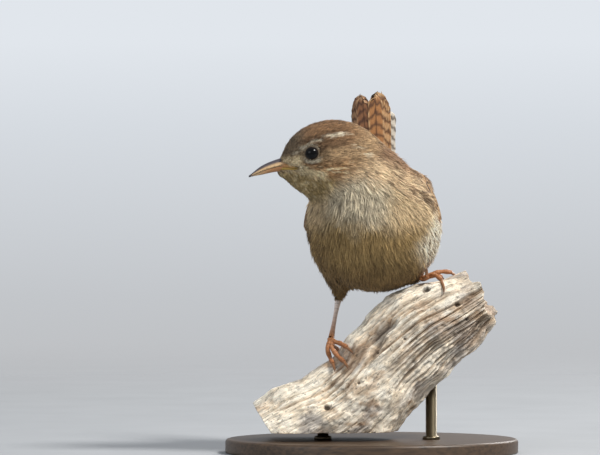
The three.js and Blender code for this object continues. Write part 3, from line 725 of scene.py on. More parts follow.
def tufts(name, roots, out, length, width, lift, barbs, rows, locks, shade):
    """One piece of coat. Each tuft is a small feather: a fan of tapering barbs with a rounded end."""
    n = len(roots)
    way = lie_of(roots, out)
    turn = RNG.normal(0, 0.16, n)[:, None]
    way = unit(way * np.cos(turn) + np.cross(out, way) * np.sin(turn))
    tip, tip_out = settled(roots + way * length[:, None], lift, cover_field, rounds=3)
    reach = np.linalg.norm(tip - roots, axis=1)
    bow = (0.06 * reach + reach**2 / 120)[:, None]
    middle = (roots + tip) / 2 + unit(out + tip_out) * bow
    side = unit(np.cross(unit(out + tip_out), unit(tip - roots)))
    place = np.linspace(-1, 1, barbs)[None] + RNG.normal(0, 0.5 / barbs, (n, barbs))
    extent = 1 - 0.3 * place**2 + RNG.normal(0, 0.07, (n, barbs))
    half = (width / 2)[:, None]
    lock = np.floor((np.linspace(-1, 1, barbs) * 0.499 + 0.5) * locks).astype(int)
    lock_place = ((lock + 0.5) / locks * 2 - 1)[None] + RNG.normal(0, 0.12, (n, locks))[:, lock]
    blade = (width / barbs * 0.62)[:, None] * RNG.uniform(0.75, 1.25, (n, barbs))
    roll = RNG.normal(0, 0.3, (n, barbs))
    normal = unit(out + tip_out)
    flat = side[:, None] * np.cos(roll)[..., None] + normal[:, None] * np.sin(roll)[..., None]
    wave = RNG.normal(0, 0.35, (n, barbs))
    stray = (0.55 * length / 6)[:, None] * np.maximum(0, RNG.normal(-0.9, 0.7, (n, barbs)))
    stages = np.linspace(0, 1, rows)
    thickness, tone_and_depth_shade = TUFT_ROWS[rows]
    points = []
    for t, thick in zip(stages, thickness):
        s = extent * t
        s3 = s[..., None]
        centre = (1 - s3) ** 2 * roots[:, None] + 2 * s3 * (1 - s3) * middle[:, None] + s3**2 * tip[:, None]
        gathered = lerp(place, lock_place, 0.7 * t**2)
        fan = gathered * half * (0.3 + 0.7 * t**0.8) + wave * (width / barbs)[:, None] * t
        centre = centre + side[:, None] * fan[..., None]
        sink = 0.18 * gathered**2 * half - stray * t**2
        centre = centre - normal[:, None] * sink[..., None]
        if thick:
            points.append(centre - flat * (blade * thick)[..., None])
            points.append(centre + flat * (blade * thick)[..., None])
        else:
            points.append(centre)
    per = len(points)
    points = np.stack(points, axis=2).reshape(-1, 3)
    ends = points.reshape(n, barbs, per, 3)[:, :, -1].reshape(-1, 3)
    tint = plumage_colour(ends + RNG.normal(0, 0.12, ends.shape))
    by_lock = RNG.normal(1, shade, (n, locks))[:, lock]
    vary = RNG.normal(1, shade * 0.8, (n, 1)) * by_lock * RNG.normal(1, shade * 0.7, (n, barbs))
    tint = tint.reshape(n, barbs, 1, 3) * np.clip(vary, 0.55, 1.5)[:, :, None, None]
    # Each row's lightness: partly the feathers' darker bases, partly painted shade deep in the coat
    tone_and_depth_shade = np.repeat(tone_and_depth_shade, 2)[:per]
    tint = np.clip(tint * tone_and_depth_shade[None, None, :, None], 0.002, 0.92).reshape(-1, 3)
    first = np.arange(n * barbs)[:, None] * per
    faces = [first + np.array([2 * k, 2 * k + 1, 2 * k + 3, 2 * k + 2]) for k in range(rows - 2)]
    last = 2 * (rows - 2)
    faces.append(first + np.array([last, last + 1, last + 2]))

    # In the map each tuft has a small patch of its own, laid where its root is on the skin
    patch = np.empty((n, barbs, per, 2))
    patch[..., 0] = (place / 2 + 0.5)[..., None]
    patch[..., 1] = np.repeat(stages, 2)[:per]
    bake = unwrap(roots)[:, None, None] + 0.003 * (patch - 0.5)
    made = build(name, points, faces, tint=tint, maps={"OFBake": bake.reshape(-1, 2)})
    dress(made, PLUMAGE)


def clear_of_eyes(p):
    """How far each point is from the nearer eye's middle."""
    return np.minimum(*[np.linalg.norm(p - eye_centre(side), axis=1) for side in SIDES.values()])


def on_wing(p):
    """True where the folded wings lie bare, above and behind the feathers that cover their edges."""
    forward, left, high = in_wing_frame(p)
    front = np.where(left > 0, 7.6 - 0.3 * (high - 0.5) ** 2, 8.6 - 0.2 * (high + 3) ** 2)
    front = np.maximum(front + 1.2 * noise(p / 1.7, 83), -11)
    return (forward < front) & (forward > -13) & (high < 6.2) & (high > -8) & (np.abs(left) > 7)


TUFT_TRIES = 37000


def make_coat():
    quads_middle = skin_outer[skin_quads].mean(axis=1)
    face_ahead = in_frame(quads_middle, HEAD_CENTRE, FACE)[0]
    density = lerp(1.0, lerp(2.0, 3.6, smoothstep(0, 8, face_ahead)), head_share(quads_middle, 1.5))
    outer = sample(skin_outer, skin_quads, TUFT_TRIES, density)
    outer = outer[clear_of_eyes(outer) > 2.5]
    outer = outer[~on_wing(outer) & (gape_bare(outer) < 0)]
    over_wing = cover_field(outer) < plumage_field(outer) - 0.3
    depth = np.where(over_wing, 0.8, np.minimum(coat_depth(outer), 1.5))
    roots, out = settled(outer, -depth, cover_field)

    # How long and wide each tuft is, and how far it stands off
    ahead, head_left, _ = in_frame(outer, HEAD_CENTRE, FACE)
    forward, left, up = in_frame(outer, BODY_CENTRE, TRUNK)
    height = outer[:, 2]
    headness = head_share(outer, 1.5)
    near_eye = smoothstep(2.4, 6, clear_of_eyes(outer))
    length_head = lerp(3.6, 1.5, smoothstep(-4, 12, ahead)) * lerp(0.5, 1, near_eye)
    length_body = lerp(5.4, 6.6, smoothstep(66, 52, height))
    length = lerp(length_body, length_head, headness) * RNG.uniform(0.8, 1.2, len(roots))
    for thigh_field in thigh_fields.values():
        near = smoothstep(1.0, -1.0, thigh_field(outer) - body_field(outer))
        length *= lerp(1, 0.5, near)
    width = length * lerp(0.4, 0.46, headness)
    lift = RNG.normal(0.0, 0.26, len(roots)) * lerp(1, 0.5, headness) + 0.05
    lift += 0.7 * smoothstep(-10, -14, outer[:, 0]) * smoothstep(63, 59, height) * smoothstep(44, 49, height)

    # The pieces: where each one is, its barbs, rows and locks, and how much its tufts differ in shade
    on_head = headness > 0.5
    below = ~on_head & (height < 60) & (up < 2)
    above = ~on_head & (up > 5)
    for side, here, head_here in (("left", left > 0, head_left > 0), ("right", left <= 0, head_left <= 0)):
        groups = {
            "face": (on_head & (ahead > 4) & head_here, 6, 3, 2, 0.34),
            "crown": (on_head & (ahead <= 4) & head_here, 9, 4, 3, 0.24),
            "belly": (below & (forward >= -9) & here, 9, 4, 3, 0.17),
            "vent": (below & (forward < -9) & here, 9, 4, 3, 0.2),
            "back": (above & here, 9, 4, 3, 0.2),
            "breast": (~on_head & ~below & ~above & here, 9, 4, 3, 0.18),
        }
        for name, (chosen, barbs, rows, locks, shade) in groups.items():
            sizes = [part[chosen] for part in (roots, out, length, width, lift)]
            tufts(f"coat_{name}_{side}", *sizes, barbs, rows, locks, shade)

    # A few loose filaments stand off the breast and flanks
    loose = (headness < 0.3) & (RNG.random(len(roots)) < 0.07)
    sizes = [part[loose] for part in (roots, out, length * 1.25, width * 0.5, lift + 0.35)]
    tufts("coat_filaments", *sizes, 3, 4, 3, 0.3)


make_coat()


# Tubes through points
def curve(points, count):
    """Evenly spaced points of a smooth curve through a few points."""
    points = np.array(points)
    padded = np.concatenate([[2 * points[0] - points[1]], points, [2 * points[-1] - points[-2]]])
    fine = []
    for k in range(len(points) - 1):
        a, b, c, d = padded[k : k + 4]
        for t in np.linspace(0, 1, 24, endpoint=False):
            bend = (2 * a - 5 * b + 4 * c - d) * t**2 + (3 * b - a - 3 * c + d) * t**3
            fine.append(0.5 * (2 * b + (c - a) * t + bend))
    fine = np.array(fine + [points[-1]])
    run = np.concatenate([[0], np.cumsum(np.linalg.norm(np.diff(fine, axis=0), axis=1))])
    wanted = np.linspace(0, run[-1], count)
    return np.stack([np.interp(wanted, run, fine[:, k]) for k in range(3)], axis=1)


def tube(points, radius, sides, upward, squash=1.0):
    """Rings round a curve, closed at each end by a point; radius is one per ring, or a grid of them."""
    tangent = unit(np.gradient(points, axis=0))
    side = unit(np.cross(tangent, upward))
    top = np.cross(side, tangent)
    angle = circle(sides)
    radius = np.asarray(radius, float)
    radius = np.repeat(radius[:, None], sides, axis=1) if radius.ndim == 1 else radius
    ring = np.cos(angle)[None, :, None] * side[:, None]
    ring = ring + squash * np.sin(angle)[None, :, None] * top[:, None]
    grid = points[:, None] + ring * radius[..., None]
    rows = len(points)
    start = points[0] - tangent[0] * radius[0].mean() * 0.5
    end = points[-1] + tangent[-1] * radius[-1].mean() * 0.6
    every = np.concatenate([grid.reshape(-1, 3), np.stack([start, end])])
    count = rows * sides
    k = np.arange(sides)
    caps = [
        np.stack([np.full(sides, count), (k + 1) % sides, k], axis=1),
        np.stack([np.full(sides, count + 1), count - sides + k, count - sides + (k + 1) % sides], axis=1),
    ]
    return every, [grid_faces(rows, sides, closed=True), np.concatenate(caps)]


def tube_tint(shade, sides):
    """The tint of a tube from one colour per ring."""
    return np.concatenate([np.repeat(shade, sides, axis=0), shade[:1], shade[-1:]])


def joined(parts):
    """Several (points, faces, tint) as one."""
    points, quads, tris, tints, count = [], [], [], [], 0
    for p, faces, tint in parts:
        points.append(p)
        tints.append(tint)
        for f in faces:
            (quads if f.shape[1] == 4 else tris).append(f + count)
        count += len(p)
    faces = [np.concatenate(f) for f in (quads, tris) if f]
    return np.concatenate(points), faces, np.concatenate(tints)


# The bill
def bill_line(t):
    t = np.asarray(t, float)
    return head_point(lerp(9, BILL_REACH, t), 0 * t, -0.32 + 2.37 * t - 4.62 * t * t)


HALF_WIDTHS = [2.7, 2.25, 1.5, 0.95, 0.2]
HALF_HEIGHTS = [2.2, 1.95, 1.58, 1.15, 0.22]
MOUTH_DROP = 0.25
MOUTH_GAP = 0.06
BILL_DARK = srgb(70, 64, 70)
BILL_ORANGE = srgb(182, 130, 88)
BILL_HORN = srgb(206, 178, 136)
GAPE = srgb(178, 146, 74)
BILL = tinted("bill_horn", 0.5, 0.4, 1400, 0.1)


def nostril(t, angle, length, width):
    """1 in the middle of the nostril and 0 away from it."""
    lengthwise = np.exp(-(((t - 0.40) / length) ** 2))
    return lengthwise * np.exp(-(((np.abs(np.cos(angle)) - 0.72) / width) ** 2))


def mandible(name, upper, node):
    """One half of the bill: a curved outer wall and a flat one where the halves meet."""
    rows, columns = 64, 26
    t = np.linspace(0.0, 1.0, rows)[:, None] * np.full((1, columns), 1.0 if upper else 0.985)
    angle = np.linspace(0, math.pi, columns)[None] * np.ones((rows, 1))
    wide = along(HALF_WIDTHS, t) * np.cos(angle)
    tall = along(HALF_HEIGHTS, t) * np.sin(angle)
    middle = bill_line(t)
    sign = 1 if upper else -1
    lip = sign * MOUTH_GAP - MOUTH_DROP
    height = lip + sign * np.maximum(tall + sign * MOUTH_DROP, 0)
    if upper:
        pinch = np.exp(-(((angle - math.pi / 2) / 0.35) ** 2))
        height = height + 0.1 * pinch * (1 - t)
        slot = nostril(t, angle, 0.055, 0.12)
        wide = wide * (1 - 0.16 * slot)
        height = height - 0.28 * slot
    points = middle + wide[..., None] * FACE[1] + height[..., None] * FACE[2]
    flat = middle + wide[..., None] * FACE[1] + lip * FACE[2]
    grid = points.reshape(-1, 3)
    faces = [grid_faces(rows, columns), grid_faces(rows, columns)[:, ::-1] + len(grid)]
    for edge in (0, columns - 1):
        a = np.arange(rows - 1) * columns + edge
        faces.append(np.stack([a, a + columns, a + columns + len(grid), a + len(grid)], axis=1))
    t, angle = t.reshape(-1), angle.reshape(-1)
    ridge = np.sin(angle)
    colour = filled(BILL_ORANGE, len(t))
    if upper:
        colour = towards(
            colour,
            (BILL_HORN, 0.75 * smoothstep(0.1, 0.5, t)),
            (BILL_DARK, smoothstep(0.3, 0.85, ridge + 0.25 * t)),
            (GAPE, 0.7 * smoothstep(0.3, 0.05, t) * smoothstep(0.5, 0.1, ridge)),
        )
        # The nostril darkened: painted shade in its opening
        colour = colour * (1 - 0.7 * nostril(t, angle, 0.05, 0.1))[:, None]
    else:
        colour = towards(
            colour,
            (BILL_HORN, 0.8 * smoothstep(0.5, 0.95, t)),
            (BILL_DARK, 0.45 * smoothstep(0.8, 1, ridge)),
            (GAPE, 0.6 * smoothstep(0.35, 0.05, t)),
        )
    colour = towards(colour, (BILL_DARK * 0.6, smoothstep(0.9, 0.98, t)))
    colour = colour * (1 + 0.08 * noise(grid / 0.8, 31))[:, None]
    # The flat walls where the halves meet take half the outer colour: painted shade in the mouth's gap
    tint = np.concatenate([colour, colour * 0.5])
    points = np.concatenate([grid, flat.reshape(-1, 3)])
    dress(build(name, points, [np.concatenate(faces)], tint=tint), BILL, [node])


def make_gape(side, name):
    """The corner of the mouth: two bare folds that run back from the bill into the face."""
    t = np.linspace(0, 1, 48)
    sides = 14
    parts = []
    for start, end, size, colour in ((0.35, -1.05, 0.62, BILL_ORANGE), (-1.1, -1.35, 0.5, GAPE)):
        line = head_point(lerp(16.2, 10.4, t), side * lerp(1.2, 4.4, t), lerp(start, end, t**0.8))
        line, _ = settled(line, along([-1.2, -0.95, -0.75, -0.45, -0.12], t))
        p, faces = tube(line, size * along([1.0, 1.1, 0.95, 0.6, 0.2], t), sides, FACE[2], squash=0.8)
        shade = lerp(colour, GAPE * 0.8, t[:, None] ** 1.5) * (1 + 0.08 * np.sin(40 * t))[:, None]
        parts.append((p, faces, tube_tint(shade, sides)))
    p, faces, tint = joined(parts)
    dress(build(f"gape_{name}", p, faces, tint=tint), BILL)


for label, direction in SIDES.items():
    make_gape(direction, label)
mandible("bill_upper_horn", True, "bill_upper")
mandible("bill_lower_horn", False, "bill_lower")


# The eyes and their lids
def eye_material():
    made, tree, base = material("eye_gloss", Roughness=0.14, Specular_IOR_Level=0.2)
    fleck = noise_node(tree, place_of(tree), 900, 4)
    shade = ramp(tree, fleck, [(0.3, 0.8), (0.7, 1.1)])
    tree.links.new(multiplied(tree, 1.0, tint_of(tree), shade), base.inputs["Base Color"])
    return made


EYE = eye_material()
LID = tinted("lid_skin", 0.7, 0.3, 2600, 0.15)
PUPIL = srgb(6, 5, 5)
IRIS = srgb(24, 17, 13)
LID_GREY = srgb(92, 80, 64)
LID_OUT = 1.12


def make_eye(side, name):
    """The ball as a lathed form round the eye's own axis, and a beaded ring of bare lid round it."""
    centre = eye_centre(side)
    outward = unit(side * FACE[1] + 0.28 * FACE[0] + 0.05 * FACE[2])
    across = unit(np.cross(outward, FACE[2]))
    upward = np.cross(across, outward)
    rows, columns = 40, 64
    polar = np.linspace(0.001, math.pi - 0.001, rows)[:, None]
    turn = circle(columns)[None]
    radius = EYE_RADIUS * (1 + 0.02 * smoothstep(0.9, 0.3, polar))
    ball = (
        np.cos(polar)[..., None] * outward
        + (np.sin(polar) * np.cos(turn))[..., None] * across
        + (np.sin(polar) * np.sin(turn))[..., None] * upward
    )
    points = (centre + ball * radius[..., None]).reshape(-1, 3)
    angle = np.repeat(polar, columns, axis=1).reshape(-1)
    tint = towards(filled(PUPIL, len(angle)), (IRIS, smoothstep(0.62, 0.8, angle)))
    made = build(f"eye_ball_{name}", points, [grid_faces(rows, columns, closed=True)], tint=tint)
    dress(made, EYE, [f"eye_{name}"])

    rows, columns = 96, 12
    turn = circle(rows)
    bead = 0.15 + 0.03 * np.sin(30 * turn)
    ring_radius = 1.93 + 0.05 * np.cos(2 * turn)
    way = np.cos(turn)[:, None] * across + np.sin(turn)[:, None] * upward
    path = centre + outward * LID_OUT + ring_radius[:, None] * way
    radial = unit(path - centre - outward * LID_OUT)
    k = circle(columns)
    ring = path[:, None] + bead[:, None, None] * (
        np.cos(k)[None, :, None] * radial[:, None] * 1.3 + np.sin(k)[None, :, None] * outward
    )
    faces = [grid_faces(rows, columns, closed=True, looped=True)]
    lids = build(f"lid_{name}", ring.reshape(-1, 3), faces, tint=filled(LID_GREY, rows * columns))
    dress(lids, LID)


for label, direction in SIDES.items():
    make_eye(direction, label)


# The limb: its outline is the solid's, cut by deep lengthwise grooves and cracks
LIMB_START = vec(-15, -3, 11.2)
LIMB_AXIS = unit(vec(0.825, 0, 0.565))
LIMB_UP = unit(vec(-0.565, 0, 0.825))
LIMB_FROM = -14
LIMB_TO = 57.5
LIMB_TOPS = [13.2, 13.2, 11.6, 11.2, 14.4, 16.3, 16.4, 13, 10.5]
LIMB_BOTTOMS = [-17, -19, -20.5, -18.5, -14.5, -12.6, -11, -9.2, -7.5]
LIMB_SIDES = [14, 14, 13.8, 13.8, 13.6, 13.2, 12.6, 11.2, 9.2]
SAWN_LEVEL = 6.5


def limb_place(distance, angle, off=0.0):
    t = (distance - LIMB_FROM) / (LIMB_TO - LIMB_FROM)
    top, bottom = along(LIMB_TOPS, t), along(LIMB_BOTTOMS, t)
    half = (top - bottom) / 2
    side = along(LIMB_SIDES, t)
    oval = 1 / np.hypot(np.cos(angle) / side, np.sin(angle) / half)
    ridges = 0.42 * np.sin(5 * angle + 0.05 * distance) + 0.28 * np.sin(11 * angle - 0.07 * distance)
    radius = oval + ridges + 0.22 * np.sin(0.5 * distance + 3 * angle) + off
    lift = (top + bottom) / 2 + np.sin(angle) * radius
    points = LIMB_START + distance[..., None] * LIMB_AXIS + lift[..., None] * LIMB_UP
    points[..., 1] -= np.cos(angle) * radius
    return points


def on_limb(x, z, off=TOE_RADIUS * 0.8):
    """A point on the viewer's side of the limb, at that place across and that height."""
    d = vec(x, 0, z) - vec(LIMB_START[0], 0, LIMB_START[2])
    distance = d @ LIMB_AXIS
    low, high = -math.pi / 2, math.pi / 2
    for _ in range(24):
        angle = (low + high) / 2
        point = limb_place(np.array(distance), np.array(angle), off) - LIMB_START
        if point @ LIMB_UP < d @ LIMB_UP:
            low = angle
        else:
            high = angle
    return limb_place(np.array(distance), np.array(low), off)


LEGS["right"]["toes"] = [
    ([vec(-11.6, -2.6, 31), vec(-10.6, 1.2, 30.2), vec(-9.4, 5, 29)], vec(-8.6, 7.6, 26.4)),
    ([vec(-10.7, -6, 32.1), vec(-9, -6.6, 31.6), on_limb(-7.2, 30.6)], on_limb(-5.4, 28.8)),
    ([vec(-11.5, -7, 30.4), on_limb(-9.7, 28), on_limb(-8, 26.6)], on_limb(-6.8, 24.4)),
    ([vec(-12.7, -6.8, 30.3), on_limb(-12, 27.6), on_limb(-11.2, 26)], on_limb(-10.6, 23.6)),
]
LEGS["left"]["toes"] = [
    ([vec(15.2, -5.4, 50.2), vec(15.6, -7, 50.4), vec(15.6, -7.8, 51.2)], vec(15.4, -8.1, 53.6)),
    ([vec(16.6, -5, 50.8), vec(18.2, -6.6, 51), on_limb(19.8, 49.8)], on_limb(20.2, 45.6)),
    ([vec(17, -3.4, 51.2), vec(20, -2.9, 52), vec(22.8, -2.4, 51.8)], vec(24.4, -2.6, 49.4)),
    ([vec(16.2, -1.8, 50.4), vec(18.2, 0.8, 50.9), vec(20, 3.2, 50.4)], vec(21.4, 6, 47.6)),
]


def near_feet(p):
    """1 by the toes and 0 away from them."""
    nearest = np.full(len(p), 1e9)
    for leg in LEGS.values():
        for path, claw in leg["toes"]:
            for q in [leg["ball"], *path, claw]:
                nearest = np.minimum(nearest, np.linalg.norm(p - q, axis=1))
    return smoothstep(6, 2.2, nearest)


WOOD_PALE = srgb(243, 234, 217)
WOOD_GREY = srgb(190, 181, 172)
WOOD_BROWN = srgb(176, 142, 106)
# The darker wood colours: partly stain that gathers in grooves, creases and holes, partly painted shade in
# them
WOOD_STAIN_AND_SHADE = srgb(58, 44, 34)
WOOD_CREASE_STAIN_AND_SHADE = srgb(132, 104, 76)
WOOD_SCORED_STAIN_AND_SHADE = srgb(112, 88, 64)
# Painted shade for the shallow hollow
WOOD_HOLLOW_SHADE = srgb(96, 90, 86)
WOOD_SAWN = srgb(200, 172, 128)


# Small holes in the limb's near side: across, height, radius and depth
LIMB_PITS = [
    (14.9, 47.4, 1.3, 1.2),
    (24, 43.1, 1.0, 0.9),
    (-13, 14, 1.2, 1.0),
    (1, 30, 0.8, 0.8),
    (20, 37, 0.6, 0.6),
    (-4, 21, 0.7, 0.7),
    (27, 38.5, 0.7, 0.7),
    (9, 33.5, 0.5, 0.6),
]
HOLLOW_PLACE = (3.0, 35.8)


def stretched(d, x, y, long, fine):
    """Places for noise that runs along the limb."""
    return np.stack([d / long, x / fine, y / fine], axis=1)


def limb_surface(rows, columns):
    """The points and the tint of the limb's weathered side."""
    share = np.linspace(0, 1, rows)[:, None]
    angle = circle(columns)[None] * np.ones((rows, 1))
    broken = 1.3 * np.sin(2 * angle + 0.6) + 0.9 * np.sin(5 * angle)
    round_it = np.stack([np.cos(angle) * 7, np.sin(angle) * 7, angle * 0], axis=-1).reshape(-1, 3)
    splinter = 0.9 * noise(round_it, 5).reshape(rows, columns)
    end = LIMB_TO - 0.6 + broken * share**3 + splinter * share**8
    distance = LIMB_FROM + (end - LIMB_FROM) * share
    smooth = limb_place(distance, angle).reshape(-1, 3)
    d, a = distance.reshape(-1), angle.reshape(-1)
    x, y = np.cos(a) * 12, np.sin(a) * 12

    # Grooves, cracks and flakes, worn off in places and shallow by the toes
    bend = 0.8 * noise(stretched(d, x, y, 24, 9), 51)
    grain = stretched(d, x + bend, y + bend, 36, 1.7)
    furrow = 1 - np.abs(noise(grain, 61))
    fine = 1 - np.abs(noise(grain * [2.2, 3.1, 3.1], 62))
    fibre = noise(grain * [4, 9, 9], 63)
    lumps = fractal(smooth / 5, 3, 64)
    zone = fractal(stretched(d, x, y, 20, 7), 2, 74)
    worn = smoothstep(-0.35, 0.3, zone + 0.35 * np.cos(a + 0.3))
    deep = smoothstep(0.74, 1.0, furrow) * lerp(0.15, 1, worn)
    crease = smoothstep(0.8, 1.0, fine) * lerp(0.4, 1, worn)
    rough = fractal(smooth / [1.4, 0.9, 0.9], 3, 75)
    flake = smoothstep(0.1, 0.2, fractal(stretched(d, x, y, 11, 4.5), 3, 76))
    straight = 1 - np.abs(noise(stretched(d, x + 0.4 * bend, y, 55, 0.95), 77))
    scored = smoothstep(0.72, 0.98, straight) * smoothstep(0.55, -0.05, np.sin(a))
    scored = scored * smoothstep(14, 26, d + 4 * zone)
    strength = lerp(1, 0.18, near_feet(smooth))
    sink = strength * (1.5 * deep**1.5 + 0.45 * crease + 0.1 * (1 - fibre) + 0.45 * (0.6 - lumps))
    sink = sink + strength * (0.32 * flake - 0.13 * rough + 0.6 * scored)

    # Small holes, and one shallow hollow
    pits = np.zeros(len(d))
    for across, height, size, depth in LIMB_PITS:
        away = np.linalg.norm((smooth - on_limb(across, height, 0)) * [0.8, 1, 1.1], axis=1)
        away = away + 0.25 * size * noise(smooth * 1.3, 66)
        pits = np.maximum(pits, depth * smoothstep(size, size * 0.35, away))
    hollow_at = (smooth - on_limb(*HOLLOW_PLACE, 0)) @ np.array([LIMB_AXIS, LIMB_UP, [0, 1, 0]]).T
    hollow = smoothstep(1, 0.3, np.linalg.norm(hollow_at / [5.5, 2.6, 4], axis=1) + 0.25 * lumps)
    sink = sink + pits + 1.3 * hollow * strength
    points = limb_place(distance, angle, -sink.reshape(rows, columns)).reshape(-1, 3)
    sawn = points[:, 2] < SAWN_LEVEL
    points[:, 2] = np.maximum(points[:, 2], SAWN_LEVEL)

    patches = fractal(smooth / 9, 3, 67)
    stain = fractal(smooth / [6, 4, 3], 3, 68)
    # Grey patches, flakes and brown stain; deep grooves browner, partly stain and partly painted shade
    tint = towards(
        filled(WOOD_PALE, len(d)),
        (WOOD_GREY, 0.7 * smoothstep(0.1, 0.6, patches + 0.3 * fibre)),
        (WOOD_GREY * 0.72, 0.7 * flake * smoothstep(-0.1, 0.3, patches + 0.5 * zone)),
        (WOOD_BROWN, 0.55 * smoothstep(0.4, 0.9, stain + 0.25 * fibre)),
        (WOOD_BROWN, 0.6 * deep),
    )
    # Furrows, creases, scored grooves and holes darker: partly stain gathered in them, partly painted shade
    tint = towards(
        tint * (1 + 0.16 * rough)[:, None],
        (WOOD_STAIN_AND_SHADE, 0.5 * smoothstep(0.88, 1.0, furrow) * lerp(0.5, 1, worn)),
        (WOOD_CREASE_STAIN_AND_SHADE, 0.4 * crease),
        (WOOD_SCORED_STAIN_AND_SHADE, 0.75 * scored),
        (WOOD_STAIN_AND_SHADE, 0.85 * smoothstep(0.15, 0.7, pits)),
        # Painted shade in the shallow hollow
        (WOOD_HOLLOW_SHADE, 0.75 * hollow),
    )
    return points, towards(tint * (1 + 0.12 * fibre)[:, None], (WOOD_SAWN, 0.8 * sawn))


def make_limb():
    """The weathered side, a sawn lower end and a broken upper one, each closed by rings of points."""
    rows, columns = 290, 330
    points, tint = limb_surface(rows, columns)
    every, tints = [points], [tint]
    faces, caps = [grid_faces(rows, columns, closed=True)], []
    count = len(points)
    for row, broken in ((0, False), (rows - 1, True)):
        rim = points[row * columns : (row + 1) * columns]
        centre = rim.mean(axis=0)
        outward = 1 if broken else -1
        shade = lerp(WOOD_GREY, WOOD_BROWN, 0.35) if broken else lerp(WOOD_BROWN, WOOD_PALE, 0.6)
        previous = row * columns + np.arange(columns)
        for share in (0.85, 0.65, 0.45, 0.25, 0.08):
            p = lerp(centre, rim, share)
            jag = 0.7 * noise(p * [0.9, 1.6, 1.6], 71) if broken else 0.1 * noise(p * 2, 72)
            sunk = (1.6 * (1 - share) if broken else 0) - jag
            p = p - LIMB_AXIS * (sunk * outward)[:, None]
            p[:, 2] = np.maximum(p[:, 2], SAWN_LEVEL)
            every.append(p)
            year_rings = 1 + 0.16 * np.sin(share * 40 + 2 * noise(p / 3, 73))
            tints.append(filled(shade, columns) * year_rings[:, None])
            now = count + np.arange(columns)
            count += columns
            quads = np.stack([previous, np.roll(previous, -1), np.roll(now, -1), now], axis=1)
            faces.append(quads[:, ::-1] if broken else quads)
            previous = now
        every.append(every[-1].mean(axis=0)[None])
        tints.append(tints[-1][:1])
        cap = np.stack([previous, np.roll(previous, -1), np.full(columns, count)], axis=1)
        caps.append(cap[:, ::-1] if broken else cap)
        count += 1
    faces = [np.concatenate(faces), np.concatenate(caps)]
    made = build("perch_wood", np.concatenate(every), faces, tint=np.concatenate(tints))
    dress(made, WOOD, ["perch"])


def wood_material():
    made, tree, base = material("weathered_wood", Roughness=0.88, Specular_IOR_Level=0.2)
    tint, place = tint_of(tree), place_of(tree)
    lean = -math.atan2(LIMB_AXIS[2], LIMB_AXIS[0])
    drawn = fed_node(tree, "ShaderNodeMapping", place, Rotation=(0, lean, 0), Scale=(9, 1, 1))
    drawn.vector_type = "TEXTURE"
    fibres = noise_node(tree, drawn.outputs[0], 1500, 6, 0.65)
    blotches = noise_node(tree, place, 260, 5, 0.6)
    specks = noise_node(tree, place, 1400, 3, 0.5)
    shade = ramp(tree, fibres, [(0.36, 0.5), (0.48, 1.05), (0.66, 1.4)])
    colour = multiplied(tree, 0.85, tint, shade)
    warm = ramp(tree, blotches, [(0.35, (1.0, 0.9, 0.78)), (0.6, (1.0, 1.0, 1.0))])
    colour = multiplied(tree, 0.7, colour, warm)
    dots = ramp(tree, specks, [(0.3, 0.25), (0.4, 1.0)])
    colour = multiplied(tree, 0.8, colour, dots)
    tree.links.new(colour, base.inputs["Base Color"])
    bump(tree, fibres, 0.8, 0.0008, base)
    return made


WOOD = wood_material()
make_limb()


# Legs and feet
SHANK = srgb(178, 120, 78)
# Painted light: a near-white tone for the right shank's upper end
SHANK_LIT = srgb(250, 236, 226)
TOE_SHADE = srgb(118, 68, 38)
CLAW_BROWN = srgb(112, 82, 58)
FOOT_UP = vec(0, -0.6, 1)


def scaled_tube(points, radii, sides, scutes, upward, colours):
    """A tube with a row of overlapping scutes on its upper face, as (points, faces, tint)."""
    t = np.linspace(0, 1, len(points))
    angle = circle(sides)
    step = (t * scutes) % 1
    on_top = smoothstep(-0.1, 0.6, np.sin(angle))[None]
    plates = 0.055 * on_top * (smoothstep(0, 0.85, step) - smoothstep(0.88, 1, step) - 0.3)[:, None]
    beads = 0.025 * (1 - on_top) * np.sin(t * scutes * 4 * np.pi)[:, None] * np.cos(3 * angle)[None]
    radius = along(radii, t)[:, None] * np.ones((1, sides)) + plates + beads
    p, faces = tube(points, radius, sides, upward)
    low, high = colours
    seam = smoothstep(0.86, 1, step)[:, None] * on_top
    mixed = lerp(low, high, (t[:, None] * np.ones((1, sides)))[..., None]) * (1 - 0.45 * seam)[..., None]
    # Painted shade: each tube is a fifth darker on the side away from its upward way
    mixed = mixed * (0.82 + 0.18 * on_top)[..., None]
    tint = np.concatenate([mixed.reshape(-1, 3), low[None], high[None]])
    tint = tint * (1 + 0.1 * noise(p / 0.5, 81))[:, None]
    return p, faces, tint


LEG = tinted("shank_scales", 0.5, 0.4, 2200, 0.14)
CLAW = tinted("claw_horn", 0.35, 0.5, 1500, 0.12)


